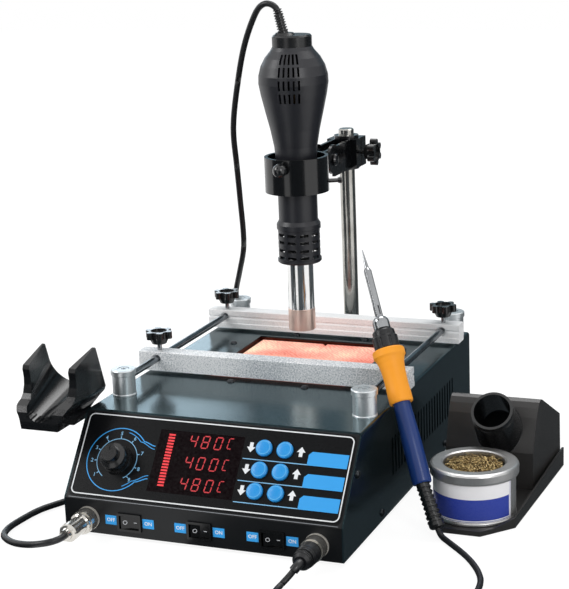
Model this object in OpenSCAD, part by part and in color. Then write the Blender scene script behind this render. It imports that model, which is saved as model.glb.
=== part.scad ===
// Rework station: a steel housing with an infrared preheater and a sloped control panel,
// bars on rods that clamp a circuit board over the heater, a hot air gun held on a pole,
// a soldering iron that leans on the housing, and the iron's stand with a tip cleaner.
// X is to the right, Y to the back and Z up. The origin is on the table under the
// housing's middle.

/* [Housing] */
// Width of the housing
body_w = 240; // [236:1:244]
// Depth of the housing
body_d = 348; // [346:1:352]
// Height of the housing above its feet
body_h = 88.5; // [88:0.5:90]
// Height of the upright strip below the sloped panel
front_h = 28; // [27:0.5:29]
// How far back the sloped panel leans
slope_run = 48.5; // [47:0.5:50]
// Thickness of the sheet steel
sheet = 1.2; // [1:0.1:1.4]
// Height of the rubber feet
foot_h = 3; // [2.5:0.5:4]

/* [Preheater] */
// Side of the square heater window
window = 131; // [120:1:135]
// Distance of the heater's middle behind the housing's middle
heater_y = 49; // [46:1:52]

/* [Board holder] */
// Half the distance between the two guide rods
rod_x = 107.5; // [105:0.5:109]
// Radius of the guide rods
rod_r = 3; // [2.5:0.5:3]
// Height of the rods above the housing
rod_up = 13; // [12.5:0.5:13.5]
// Depth of each bar, front to back
bar_d = 16; // [15:0.5:17]
// Height of each bar
bar_h = 17; // [16:0.5:17]
// Radius over the lobes of a star knob
star_r = 12.5; // [11:0.5:13]

/* [Pole and arm] */
// Radius of the pole
pole_r = 7.25; // [7:0.25:7.5]
// Height of the pole's top above the table
pole_top = 279; // [276:1:284]
// Outer radius of the ring that holds the gun
ring_r = 28; // [27:0.5:29]
// Height of the ring
ring_h = 31; // [28:1:32]

/* [Hot air gun] */
// Distance of the gun's axis behind the housing's middle
gun_y = 56.7; // [55:0.1:58]
// Height of the nozzle's mouth above the table
nozzle_z = 119; // [117:1:122]
// Outer radius of the nozzle
nozzle_r = 12; // [11:0.5:12]
// Thickness of the moulded handle
shell_t = 2.4; // [2:0.2:2.6]

/* [Soldering iron] */
// Radius of the grip's upper end
grip_r = 13.3; // [12.5:0.1:13.5]
// Radius of the handle
handle_r = 8; // [7.5:0.5:8]

/* [Stand and tin] */
// Outer radius of the tin's rolled ring
tin_r = 36; // [35:0.5:36.5]
// Height of the tin
tin_h = 43; // [40:1:45]
// Thickness of the stand's base
base_t = 4; // [3:0.5:4]

/* [Hidden] */
$fn = 48;

e = 0.01;
front_y = -body_d / 2;
rear_y = body_d / 2;
top_z = foot_h + body_h;
slope_z = foot_h + front_h;
slope_rise = body_h - front_h;
slope_angle = atan2(slope_rise, slope_run);
slope_len = norm([slope_run, slope_rise]);
slope_top_y = front_y + slope_run;
inner_w = body_w - 2 * sheet;
bend_r = 2.5;

// Control panel: places are [x, distance up the slope]
overlay_t = 0.4;
air_at = [-80.3, 35.1];
window_at = [-12, 38.75];
window_size = [74, 52.5];
button_x = [42.9, 60.5];
button_up = [57.2, 39, 21.5];
button_r = 6.7;
button_travel = 1.2;
board_drop = 13;

// Lower front: rockers and cord sockets
rocker_x = [-61.7, -0.3, 61.6];
rocker_z = foot_h + 12.3;
rocker_pivot_in = 4;
rocker_rest = 8;
socket_x = 98.5;
socket_z = foot_h + 12.5;
socket_r = 8.1;

// Vents and screws
vent_count = 23;
vent_pitch = 7.75;
vent_w = 3.5;
vent_h = 32.5;
vent_start = -54;
vent_z = foot_h + 44.8;
top_screws = [for (s = [-1, 1]) each [[s * 34, -28], [s * 34, 126], [s * 81, 13], [s * 81, 85]]];
side_screws = [[-138.4, 62], [-83.6, 9.8], [91.3, 9.8]];
rear_screws = [for (s = [-1, 1]) each [[s * 112, 51.5], [s * 112, 14]]];
screw_hole_r = 1.7;

// Heater
tray_side = window + 14;
tray_floor_z = 60;
tile_gap = 1;

// Board holder
rod_z = top_z + rod_up;
bar_z = top_z + 2.5;
bar_half = 124.2;
bar_front_y = -14;
bar_rear_y = 132.6;
post_y = [-83.4, 163.4];
post_h = 22.4;
stem_r = 2;

// Pole, clamp and arm
pole_y = 184;
clamp_z = [243.7, 270.7];
clamp_half = 14.5;
clamp_knob_z = 257.3;
bush_r = 9;
arm_pivot = [126.6, 259.4];
plate_x = [6.4, 9];
ear_x = [3.6, 6.1];
ring_z = 243.5;
ring_wall = 3;

// Gun: outline of the handle as [height, radius] from the neck up
handle_outline = [[218, 17.2], [238, 17.2], [255, 17.4], [269, 17.8], [283, 18.8], [298, 21.6],
    [313, 25.2], [328, 28.6], [338, 30.3], [345, 30], [353, 27.8], [360, 24], [366, 19], [369, 17.3]];
handle_top = 369;
cap_top = 379;
collar_z = [180.4, 218];
collar_r = 19.35;

// Iron: its lower end and its tip
iron_end = [168, -98.5, 7.8];
iron_tip_at = [80.3, -4, 207.5];
iron_run = iron_tip_at - iron_end;
iron_len = norm(iron_run);
iron_tilt = acos(iron_run.z / iron_len);
iron_turn = atan2(iron_run.y, iron_run.x);
handle_from = 36.5;
boot_end = [171.1, -98.2, 8];

// Stand
stand_x = 187;
tin_at = [186.5, -46.5];
funnel_at = [189, -1, 76];
funnel_tilt = 46;

// Cords: routes as round points
gun_cord_d = 5.4;
iron_cord_d = 4.8;
gun_route_upper = [[-11.66, 56.7, 396.5], [-12.36, 56.7, 399.3], [-14.6, 56.8, 402.4],
    [-18.4, 57.1, 404.6], [-22.8, 57.7, 405.2], [-27, 58.8, 404], [-32, 61, 400.5], [-40, 66, 390],
    [-52, 74, 368], [-64, 84, 336], [-77, 98, 291], [-82, 113, 253], [-87, 128, 221], [-96, 152, 169],
    [-108, 167, 140], [-118, 179, 119], [-124, 185, 101], [-124, 185, 98]];
gun_route_lower = [[-124, 185, 98], [-124, 185, 95], [-126.5, 187, 75], [-128, 187, 45], [-128, 182, 24],
    [-129, 170, 9], [-129, 152, 3.1], [-130, 115, 2.8], [-131, 60, 2.8], [-132, 0, 2.8],
    [-134, -50, 2.8], [-141, -92, 2.8], [-153, -119, 2.8], [-163, -141, 2.8],
    [-167, -165, 2.8], [-167.5, -186, 2.8], [-163, -200, 3], [-154, -209.5, 4],
    [-142, -218, 6], [-130, -224, 8.6], [-119, -227.6, 11.2], [-110.5, -228.2, 13.2],
    [-105.9, -227.2, 14.2], [-102, -224.6, 14.9], [-99.6, -221, 15.3], [-98.5, -217, 15.5],
    [-98.5, -214, 15.5]];
iron_route_lead = [[171.1, -98.2, 8], [171.5, -98.55, 7.25], [173, -99.8, 5.1], [174.9, -101.5, 3.5],
    [177.1, -103.4, 2.6], [179, -105.1, 2.4], [185, -111.5, 2.4], [194, -121, 2.4], [204, -132.5, 2.4],
    [213, -145, 2.4], [221, -159, 2.4], [226.5, -173, 2.4], [229, -190, 2.4], [228, -208, 2.4],
    [223, -226, 2.4], [214, -241, 2.4], [202, -252, 2.4], [190, -258, 2.6]];
iron_route_tail = [[95.9, -216.8, 11.8], [94.8, -217.9, 10.2], [92.6, -220.6, 7.4], [90, -225, 4.4],
    [88.6, -231, 2.8], [88.5, -238, 2.4], [89.5, -247, 2.4], [93, -257, 2.4], [99, -267, 2.4],
    [108, -276, 2.4], [119, -284, 2.4], [131, -291.5, 2.4], [141, -297.5, 2.4], [149, -301.5, 2.6]];
coil_at = [165, -278];
coil_mid_r = 27;
coil_turns_wide = 2;
coil_turns_high = 3;

// Places what is drawn flat onto the sloped panel
module on_slope(x, up, out = 0) {
    translate([0, front_y, slope_z]) rotate([slope_angle, 0, 0]) translate([x, up, out]) children();
}

// Extrudes an outline drawn as [y, z] along X
module along_x(x0, x1) {
    translate([x0, 0, 0]) rotate([90, 0, 90]) linear_extrude(x1 - x0) children();
}

// Extrudes an outline drawn as [x, z] towards the back
module along_y(y0, y1) {
    translate([0, y1, 0]) rotate([90, 0, 0]) linear_extrude(y1 - y0) children();
}

// Points a revolved or extruded shape from Z towards the front
module facing_front() {
    rotate([90, 0, 0]) children();
}

module rounded_rect(w, h, r) {
    square([w - 2 * r, h], center = true);
    square([w, h - 2 * r], center = true);
    for (sx = [-1, 1], sy = [-1, 1]) translate([sx * (w / 2 - r), sy * (h / 2 - r)]) circle(r);
}

// Inverted U outline standing on its open side
module u_outline(w, h, r) {
    translate([-w / 2, 0]) square([w, h - r]);
    translate([-w / 2 + r, 0]) square([w - 2 * r, h]);
    for (s = [-1, 1]) translate([s * (w / 2 - r), h - r]) circle(r);
}

module slot_outline(w, h) {
    square([w, h - w], center = true);
    for (s = [-1, 1]) translate([0, s * (h - w) / 2]) circle(d = w);
}

module tube(r, wall, h) {
    difference() {
        cylinder(r = r, h = h);
        translate([0, 0, -e]) cylinder(r = r - wall, h = h + 2 * e);
    }
}

// Ring frames carried along a route so that a swept tube does not twist
function unit(v) = v / norm(v);
function tangents(p) = [for (i = [0:len(p) - 1]) unit(p[min(i + 1, len(p) - 1)] - p[max(i - 1, 0)])];
function carried(t, n, i = 0) = i == len(t) ? []
    : let (u = unit(n - (n * t[i]) * t[i])) concat([u], carried(t, u, i + 1));

// A round cord along its route, as one closed skin
module cord(p, d, sides) {
    t = tangents(p);
    n = carried(t, cross(t[0], [0.31, 0.87, 0.38]));
    ring = [for (i = [0:len(p) - 1], k = [0:sides - 1])
        p[i] + d / 2 * (cos(k * 360 / sides) * n[i] + sin(k * 360 / sides) * cross(t[i], n[i]))];
    last = (len(p) - 1) * sides;
    walls = [for (i = [0:len(p) - 2], k = [0:sides - 1])
        let (a = i * sides + k, b = i * sides + (k + 1) % sides) [b, a, a + sides, b + sides]];
    ends = [[for (k = [0:sides - 1]) k], [for (k = [sides - 1:-1:0]) last + k]];
    polyhedron(ring, concat(walls, ends), convexity = 6);
}

// Housing outline seen from the side
module side_outline() {
    polygon([[front_y, foot_h], [front_y, slope_z], [slope_top_y, top_z], [rear_y, top_z], [rear_y, foot_h]]);
}

module base_tray() {
    flange_h = 14;
    color("#24262a") difference() {
        union() {
            translate([-inner_w / 2, front_y + sheet, foot_h]) cube([inner_w, body_d - sheet, sheet]);
            for (s = [-1, 1])
                translate([s * (inner_w - sheet) / 2 - sheet / 2, front_y + 9, foot_h])
                    cube([sheet, body_d - 18, flange_h]);
        }
        for (s = side_screws)
            if (s[1] < foot_h + flange_h) along_x(-body_w, body_w) translate(s) circle(screw_hole_r);
        // Air slots under the heater
        for (i = [-6:6]) translate([i * 9, heater_y, foot_h - e])
            linear_extrude(sheet + 2 * e) slot_outline(3.5, 70);
        for (sx = [-1, 1], y = [front_y + 22, rear_y - 22])
            translate([sx * (body_w / 2 - 20), y, foot_h - e]) cylinder(r = screw_hole_r, h = sheet + 2 * e);
    }
}

module top_cover() {
    color("#2b2e32") difference() {
        intersection() {
            translate([0, 0, foot_h]) along_y(front_y, rear_y) difference() {
                u_outline(body_w, body_h, bend_r);
                translate([0, -e]) u_outline(inner_w, body_h - sheet + e, bend_r - sheet);
            }
            along_x(-body_w, body_w) side_outline();
        }
        translate([0, heater_y, top_z]) cube([window, window, 4 * sheet], center = true);
        for (p = top_screws) translate([p.x, p.y, top_z - 2 * sheet]) cylinder(r = screw_hole_r, h = 3 * sheet);
        for (p = side_screws) along_x(-body_w, body_w) translate(p) circle(screw_hole_r);
        for (i = [0:vent_count - 1])
            along_x(-body_w, body_w) translate([vent_start + i * vent_pitch, vent_z]) slot_outline(vent_w, vent_h);
    }
}

module front_panel() {
    a = slope_angle;
    cut_z = top_z - sheet;
    run_out = (cut_z - slope_z) / sin(a);
    run_in = (cut_z - slope_z + sheet * cos(a)) / sin(a);
    color("#1d1f22") difference() {
        intersection() {
            along_x(-body_w / 2, body_w / 2) polygon([
                [front_y, foot_h], [front_y, slope_z],
                [front_y + run_out * cos(a), cut_z],
                [front_y + sheet * sin(a) + run_in * cos(a), cut_z],
                [front_y + sheet, slope_z - sheet * cos(a) + sheet * (1 - sin(a)) * tan(a)],
                [front_y + sheet, foot_h]]);
            translate([0, 0, foot_h]) along_y(front_y - 1, 0) u_outline(inner_w - 0.2, body_h - sheet, 1.5);
        }
        for (x = rocker_x) translate([x, front_y, rocker_z]) cube([19, 6, 12.9], center = true);
        for (s = [-1, 1]) translate([s * socket_x, front_y + 4, socket_z]) facing_front() cylinder(r = socket_r, h = 8);
        on_slope(window_at.x, window_at.y, -4) linear_extrude(8) square(window_size, center = true);
        on_slope(air_at.x, air_at.y, -4) cylinder(r = 5, h = 8);
        for (x = button_x, t = button_up) on_slope(x, t, -4) cylinder(r = button_r + 0.3, h = 8);
    }
}

// Printed film bonded on the slope, with the window and controls cut out
module panel_overlay() {
    color("#16181b") on_slope(0, slope_len / 2 - 0.3) linear_extrude(overlay_t) difference() {
        rounded_rect(234.6, 72.2, 5);
        translate([0, 0.3 - slope_len / 2]) {
            translate(window_at) square(window_size, center = true);
            translate(air_at) circle(5);
            for (x = button_x, t = button_up) translate([x, t]) circle(button_r + 0.3);
        }
    }
}

module rear_panel() {
    color("#24262a") difference() {
        translate([0, 0, foot_h + sheet]) along_y(rear_y - sheet, rear_y)
            u_outline(inner_w - 0.2, body_h - 2 * sheet - 0.1, 1.6);
        translate([70, rear_y, 40]) cube([27.4, 8, 19.8], center = true);
        translate([30, rear_y + 4, 40]) facing_front() cylinder(r = 6.1, h = 8);
        for (i = [0:8]) translate([-92 + i * 7, rear_y + 4, 46]) facing_front()
            linear_extrude(8) slot_outline(3.5, 34);
        for (p = rear_screws) translate([p.x, rear_y + 4, p.y]) facing_front() cylinder(r = screw_hole_r, h = 8);
    }
}

// Smoked window of the display
module display_window() {
    color("#3a0d10") on_slope(window_at.x, window_at.y, -sheet)
        linear_extrude(sheet + overlay_t) square(window_size - [0.2, 0.2], center = true);
}

// Display board behind the slope and power board on the floor
module control_boards() {
    digit_rows = [57, 39.2, 21.2];
    color("#1f5a38") {
        on_slope(0, 40, -board_drop) linear_extrude(1.6) rounded_rect(226, 62, 2);
        translate([0, -100, foot_h + 7]) linear_extrude(1.6) square([200, 96], center = true);
    }
    color("#2a2a2c") {
        on_slope(-38, 39.5, 1.6 - board_drop) translate([-5, -24, 0]) cube([10, 48, 9]);
        for (t = digit_rows) on_slope(-2, t, 1.6 - board_drop) translate([-24, -7.5, 0]) cube([48, 15, 9]);
        for (x = button_x, t = button_up) on_slope(x, t, 1.6 - board_drop) {
            translate([-3, -3, 0]) cube([6, 6, 3.2]);
            cylinder(r = 1.7, h = 4);
        }
    }
    color("#8d9196") on_slope(air_at.x, air_at.y, 1.6 - board_drop) {
        cylinder(r = 8.5, h = 8);
        cylinder(r = 3.5, h = 11.8);
        cylinder(r = 3, h = 25);
    }
    color("#b08a3c") translate([60, -92, foot_h + 8.6]) {
        translate([-22, -18, 0]) cube([44, 36, 8]);
        translate([-15, -14, 8]) cube([30, 28, 18]);
        translate([-22, -18, 26]) cube([44, 36, 8]);
    }
    color("#30343a") for (i = [0:2]) translate([-70 + i * 24, -80, foot_h + 8.6]) cylinder(r = 7, h = 22);
    color("#3d5fb0") for (i = [0:2]) translate([-80 + i * 26, -130, foot_h + 8.6]) cube([19, 15, 11]);
    color("#9a9da1") for (x = [-92, 0, 92], y = [-140, -60])
        translate([x, y, foot_h + sheet]) cylinder(r = 2.8, h = 7 - sheet);
}

module switch_frames() {
    color("#101113") for (x = rocker_x) translate([x, front_y, rocker_z]) difference() {
        union() {
            translate([0, -1.6, 0]) facing_front() translate([0, 0, -1.6]) linear_extrude(1.6) rounded_rect(21, 15, 1);
            translate([-9.4, 0, -6.35]) cube([18.8, 13, 12.7]);
            for (i = [-1, 0, 1]) translate([i * 6 - 0.4, 13, -2.5]) cube([0.8, 6, 5]);
        }
        translate([-8.7, -4, -5.55]) cube([17.4, 14.5, 11.1]);
        translate([0, rocker_pivot_in, -7]) cylinder(r = 1.28, h = 14);
    }
}

// Rocker of a switch, drawn about its pivot and leaning to its pressed side
module rocker(x) {
    half = 7.7;
    translate([x, front_y + rocker_pivot_in, rocker_z]) rotate([0, 0, rocker_rest]) {
        translate([0, 0, -5.25]) linear_extrude(10.5) difference() {
            polygon([[-half, -4.6], [0, -3.5], [half, -4.6], [half, -1.5], [3.6, 4], [-3.6, 4], [-half, -1.5]]);
            translate([0, 5.6]) circle(2.6);
        }
        translate([0, 0, -6.3]) cylinder(r = 1.2, h = 12.6);
    }
}

module rocker_air() { color("#141518") rocker(rocker_x[0]); }
module rocker_preheat() { color("#141518") rocker(rocker_x[1]); }
module rocker_iron() { color("#141518") rocker(rocker_x[2]); }

// Round cord sockets: nut, threaded barrel and the contact block inside
module panel_sockets() {
    color("#c9c9c4") for (s = [-1, 1]) translate([s * socket_x, front_y, socket_z]) facing_front() {
        difference() {
            union() {
                translate([0, 0, -12]) cylinder(r = 7.8, h = 20);
                cylinder(r = 9.8, h = 2.2);
                translate([0, 0, -3.6]) cylinder(r = 10.4, h = 2.4, $fn = 6);
            }
            translate([0, 0, -3]) cylinder(r = 6.9, h = 12);
            translate([0, 0, -13]) cylinder(r = 5.5, h = 8);
        }
        for (k = [0:4]) rotate([0, 0, k * 72]) translate([3.4, 0, -3]) cylinder(r = 0.6, h = 3);
    }
}

// Mains inlet with its fuse drawer, and the fan fuse holder beside it
module mains_inlet() {
    color("#151618") {
        translate([70, rear_y, 40]) difference() {
            union() {
                translate([0, 2.5, 0]) facing_front() linear_extrude(2.5) rounded_rect(32, 24.4, 3);
                translate([-13.6, -16, -9.8]) cube([27.2, 16 + e, 19.6]);
            }
            translate([0, 4, 0]) facing_front() linear_extrude(18) difference() {
                square([24.6, 16.8], center = true);
                for (s = [-1, 1]) translate([s * 12.3, 8.4]) rotate(45) square(4.6, center = true);
            }
        }
        for (p = [[-7, -1.5], [7, -1.5], [0, 2.5]])
            translate([70 + p.x - 1, rear_y - 14.2, 40 + p.y - 2]) cube([2, 11, 4]);
        translate([30, rear_y, 40]) rotate([-90, 0, 0]) {
            translate([0, 0, -14]) cylinder(r = 6, h = 14);
            cylinder(r = 7.8, h = 2);
            translate([0, 0, 2]) cylinder(r = 5.4, h = 6);
        }
    }
}

// Steel tray that holds the tiles under the window
module heater_tray() {
    rim_z = top_z - sheet;
    inside = tray_side - 14;
    color("#3b3f44") translate([0, heater_y, 0]) difference() {
        union() {
            translate([0, 0, rim_z - 1]) linear_extrude(1) rounded_rect(tray_side + 40, tray_side + 20, 3);
            translate([0, 0, tray_floor_z]) linear_extrude(rim_z - tray_floor_z) square(tray_side - 12, center = true);
        }
        translate([0, 0, tray_floor_z + 1]) linear_extrude(rim_z) square(inside, center = true);
        for (p = top_screws) translate([p.x, p.y - heater_y, rim_z - 3]) cylinder(r = screw_hole_r, h = 6);
    }
}

// Four finely ribbed ceramic tiles that glow just under the window
module heater_tiles() {
    side = (window - 3 - tile_gap) / 2;
    step = (side + tile_gap) / 2;
    ribs = 18;
    face = 26.5;
    color("#ff6a3c") for (sx = [-1, 1], sy = [-1, 1])
        translate([sx * step, heater_y + sy * step, tray_floor_z + 1]) {
            linear_extrude(face) rounded_rect(side, side, 2);
            for (i = [0:ribs - 1])
                translate([-side / 2 + 1.5, (i - (ribs - 1) / 2) * side / ribs, face]) rotate([0, 90, 0])
                    cylinder(r = 1.2, h = side - 3);
        }
}

// Four turned posts with a cap and a socket screw
module bar_posts() {
    color("#c4c7ca") for (sx = [-1, 1], y = post_y) translate([sx * rod_x, y, top_z]) difference() {
        rotate_extrude() polygon([[0, 0], [10.2, 0], [10.2, 1], [9.75, 1.6], [9.75, 17.2], [10.75, 17.8],
            [10.75, post_h - 0.8], [10, post_h], [0, post_h]]);
        translate([0, 0, post_h - 3.5]) cylinder(r = 5, h = 6);
        rotate([y < 0 ? -90 : 90, 0, 0]) translate([0, y < 0 ? -rod_up : rod_up, -e]) cylinder(r = rod_r + 0.05, h = 14);
    }
    color("#8f9396") for (sx = [-1, 1], y = post_y) translate([sx * rod_x, y, top_z + post_h - 3.5]) difference() {
        cylinder(r = 4.4, h = 3.2);
        translate([0, 0, 1]) cylinder(r = 2.4, h = 4, $fn = 6);
    }
}

module guide_rods() {
    color("#b9bcc0") for (sx = [-1, 1]) translate([sx * rod_x, post_y[0], rod_z]) rotate([-90, 0, 0])
        cylinder(r = rod_r, h = post_y[1] - post_y[0]);
}

// One clamping bar: grooved on its inner face, bored for both rods and tapped for the knobs
module clamp_bar(y, inner) {
    groove = 2;
    color("#c9ccce") difference() {
        along_x(-bar_half, bar_half) polygon([
            for (p = [[-bar_d / 2, 0], [bar_d / 2, 0], [bar_d / 2, 4.2], [bar_d / 2 - 1, 4.8], [bar_d / 2 - 1, 9],
                [bar_d / 2 - 1 - groove, 10.5], [bar_d / 2 - 1, 12], [bar_d / 2 - 1, bar_h - 0.6],
                [bar_d / 2 - 1.6, bar_h], [-bar_d / 2 + 0.6, bar_h], [-bar_d / 2, bar_h - 0.6]])
                [y + inner * p.x, bar_z + p.y]]);
        for (sx = [-1, 1]) {
            translate([sx * rod_x, y - bar_d, rod_z]) rotate([-90, 0, 0]) cylinder(r = rod_r + 0.06, h = 2 * bar_d);
            translate([sx * rod_x, y, rod_z]) cylinder(r = stem_r + 0.06, h = bar_h);
            // Shallow counterbore around the rod on the face to the user
            translate([sx * rod_x, y - bar_d, rod_z]) rotate([-90, 0, 0])
                cylinder(r = 4.4, h = bar_d / 2 + (inner < 0 ? 3 : 2));
        }
    }
}

module front_bar() { clamp_bar(bar_front_y, 1); }
module rear_bar() { clamp_bar(bar_rear_y, -1); }

// Star knob with a screw stem, drawn with the stem's end at the origin and pointing up
module star_knob(stem) {
    lobes = 6;
    crown = stem + 5;
    color("#141517") difference() {
        union() {
            translate([0, 0, stem]) cylinder(r1 = 6.4, r2 = 8.8, h = 5);
            translate([0, 0, crown]) linear_extrude(6.3) {
                circle(r = 8.8);
                for (k = [0:lobes - 1]) rotate(k * 360 / lobes) translate([star_r - 3, 0]) circle(3);
            }
        }
        translate([0, 0, crown + 4.3]) cylinder(r = 7.2, h = 4);
    }
    color("#9da0a3") cylinder(r = stem_r, h = stem + e);
}

module bar_knob(sx, y) {
    translate([sx * rod_x, y, rod_z + rod_r + 0.35]) star_knob(top_z + 25.2 - rod_z - rod_r);
}

module knob_front_left() { bar_knob(-1, bar_front_y); }
module knob_front_right() { bar_knob(1, bar_front_y); }
module knob_rear_left() { bar_knob(-1, bar_rear_y); }
module knob_rear_right() { bar_knob(1, bar_rear_y); }

module pole() {
    color("#c2c5c8") translate([0, pole_y, 14]) {
        cylinder(r = pole_r, h = pole_top - 15);
        translate([0, 0, pole_top - 15]) cylinder(r1 = pole_r, r2 = pole_r - 1, h = 1);
    }
}

// Cast bracket that holds the pole against the rear panel
module pole_bracket() {
    color("#1c1e21") difference() {
        union() {
            translate([-22, rear_y, 12]) cube([44, 3, 74]);
            for (z = [14, 62]) translate([0, pole_y, z]) cylinder(r = 12, h = 20);
            translate([-9, rear_y, 14]) cube([18, pole_y - rear_y, 68]);
        }
        translate([-30, rear_y - 10, 0]) cube([60, 10, 100]);
        translate([0, pole_y, 13.8]) cylinder(r = pole_r + 0.05, h = 80);
        for (z = [24, 72]) translate([0, pole_y + 8, z]) rotate([-90, 0, 0]) cylinder(r = 2.1, h = 12);
        for (sx = [-1, 1], z = [24, 74]) translate([sx * 17, rear_y - 2, z]) rotate([-90, 0, 0])
            cylinder(r = 2.1, h = 12);
    }
}

// Cradle on the housing's left side: a flared saddle with two horns and a channel that widens
// and climbs to the back
module gun_cradle() {
    x_in = -body_w / 2 - 1;
    mid = -142.5;
    half = [[17, 83], [17.6, 90], [19.6, 94], [22.4, 98], [24.5, 102], [24.5, 143], [0, 143], [0, 83]];
    channel_z = 104.5;
    channel_r = 14.5;
    widen = 0.135;
    rise = 17.5;
    r0 = channel_r - 10 * widen;
    r1 = channel_r + 85 * widen;
    color("#1b1c1f") {
        difference() {
            intersection() {
                along_x(-170, -110) polygon([[-167, 83], [-167.6, 89.5], [-165, 96.5], [-160.5, 100.5], [-152, 103.4],
                    [-148, 107.2], [-145.4, 114], [-145, 120.5], [-146.2, 127], [-144.9, 130.3], [-112.5, 139.6],
                    [-109.6, 138.6], [-108, 134.5], [-95, 98], [-104, 90.5], [-122, 83]]);
                along_y(-180, -80) translate([mid, 0]) {
                    polygon(half);
                    mirror([1, 0]) polygon(half);
                }
            }
            // Channel: round below, open above
            translate([mid, -167, channel_z]) rotate([rise, 0, 0]) {
                translate([0, -10, 0]) rotate([-90, 0, 0]) cylinder(r1 = r0, r2 = r1, h = 95);
                linear_extrude(60) polygon([[-r0, -10], [r0, -10], [r1, 85], [-r1, 85]]);
            }
            // Hollow underneath
            along_x(mid - 13, mid + 13) polygon([[-161, 82], [-160, 86], [-120, 94.5], [-117, 91], [-124, 82]]);
        }
        for (x = [-10.2:3.4:10.2])
            translate([mid + x - 0.5, -166.8, channel_z - sqrt(channel_r * channel_r - x * x) / cos(rise) - 0.4])
                rotate([9, 0, 0]) cube([1, 9, 1.9]);
        // Foot that screws to the housing
        translate([mid + 14, -150, 84]) cube([x_in - mid - 13.01, 30, 2.4]);
        translate([x_in - 1.4, -128, 60]) cube([2.4, 32, 26]);
    }
}

// A dome head with its shank, head upwards
module dome_screw() {
    rotate_extrude() polygon([[0, -5], [1.5, -5], [1.5, 0], [3.3, 0], [3.1, 0.8], [2.4, 1.5], [1.2, 1.9], [0, 2]]);
}

module cover_screws() {
    color("#8c8f93") {
        for (p = top_screws) translate([p.x, p.y, top_z]) dome_screw();
        for (sx = [-1, 1], p = side_screws) translate([sx * body_w / 2, p.x, p.y]) rotate([0, sx * 90, 0]) dome_screw();
        for (p = rear_screws) translate([p.x, rear_y, p.y]) rotate([-90, 0, 0]) dome_screw();
    }
}

module rubber_feet() {
    color("#17181a") for (sx = [-1, 1], y = [front_y + 22, rear_y - 22]) translate([sx * (body_w / 2 - 20), y, 0])
        rotate_extrude() polygon([[0, 0], [7, 0], [7.5, 0.6], [6.8, foot_h], [0, foot_h]]);
}

// Air volume knob: fluted skirt and a narrow cap with a pointer line
module air_knob() {
    color("#121315") on_slope(air_at.x, air_at.y, overlay_t + 0.4) difference() {
        union() {
            cylinder(r1 = 12.4, r2 = 11.6, h = 3);
            translate([0, 0, 3]) linear_extrude(8.2) difference() {
                circle(11.2);
                for (k = [0:17]) rotate(k * 20) translate([11.6, 0]) circle(r = 0.9, $fn = 16);
            }
            translate([0, 0, 11.2]) cylinder(r1 = 10.6, r2 = 7.4, h = 1.4);
            translate([0, 0, 12.6]) cylinder(r1 = 7.4, r2 = 6.8, h = 6);
        }
        translate([0, 0, -e]) cylinder(r = 3.06, h = 13.6);
        translate([-0.5, 2, 18]) cube([1, 6, 2]);
    }
}

// Round push button, its flange behind the panel
module panel_button(x, t) {
    color("#2f9fe6") on_slope(x, t, 0) {
        translate([0, 0, -5.2]) cylinder(r = button_r + 1.2, h = 2.2);
        translate([0, 0, -5.2]) cylinder(r = button_r, h = 7.4);
        translate([0, 0, 2.2]) rotate_extrude() polygon([[0, 0], [button_r, 0], [button_r - 0.8, 0.8], [3, 1.2], [0, 1.3]]);
    }
}

module button_air_down() { panel_button(button_x[0], button_up[0]); }
module button_air_up() { panel_button(button_x[1], button_up[0]); }
module button_plate_down() { panel_button(button_x[0], button_up[1]); }
module button_plate_up() { panel_button(button_x[1], button_up[1]); }
module button_iron_down() { panel_button(button_x[0], button_up[2]); }
module button_iron_up() { panel_button(button_x[1], button_up[2]); }

// Flanged bush between the pole and the swinging arm
module pole_bush() {
    color("#202225") translate([0, pole_y, clamp_z[0] - 2.4]) difference() {
        union() {
            cylinder(r = bush_r, h = clamp_z[1] - clamp_z[0] + 4.8);
            cylinder(r = 11.5, h = 2.2);
            translate([0, 0, clamp_z[1] - clamp_z[0] + 2.6]) cylinder(r = 11.5, h = 2.2);
        }
        translate([0, 0, -1]) cylinder(r = pole_r + 0.06, h = 40);
    }
}

// Clamp block and its two plates that reach to the ring's pivot
module swing_arm() {
    plate_h = clamp_z[1] - clamp_z[0];
    color("#191a1d") difference() {
        union() {
            translate([-clamp_half, pole_y - 13, clamp_z[0]]) cube([2 * clamp_half, 26, plate_h]);
            for (s = [-1, 1]) along_x(min(s * plate_x[0], s * plate_x[1]), max(s * plate_x[0], s * plate_x[1])) {
                translate(arm_pivot) circle(plate_h / 2);
                translate([arm_pivot.x, clamp_z[0]]) square([pole_y - 13 - arm_pivot.x + e, plate_h]);
            }
        }
        translate([0, pole_y, clamp_z[0] - 1]) cylinder(r = bush_r + 0.06, h = plate_h + 2);
        translate([bush_r, pole_y, clamp_knob_z]) rotate([0, 90, 0]) cylinder(r = stem_r + 0.06, h = 10);
        along_x(-20, 20) translate(arm_pivot) circle(3.06);
        for (x = [-clamp_half, clamp_half]) translate([x, pole_y, clamp_z[0] - 1]) cylinder(r = 1.2, h = 40);
    }
}

module clamp_knob() {
    translate([bush_r + 0.6, pole_y, clamp_knob_z]) rotate([0, 90, 0]) star_knob(9.4);
}

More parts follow.
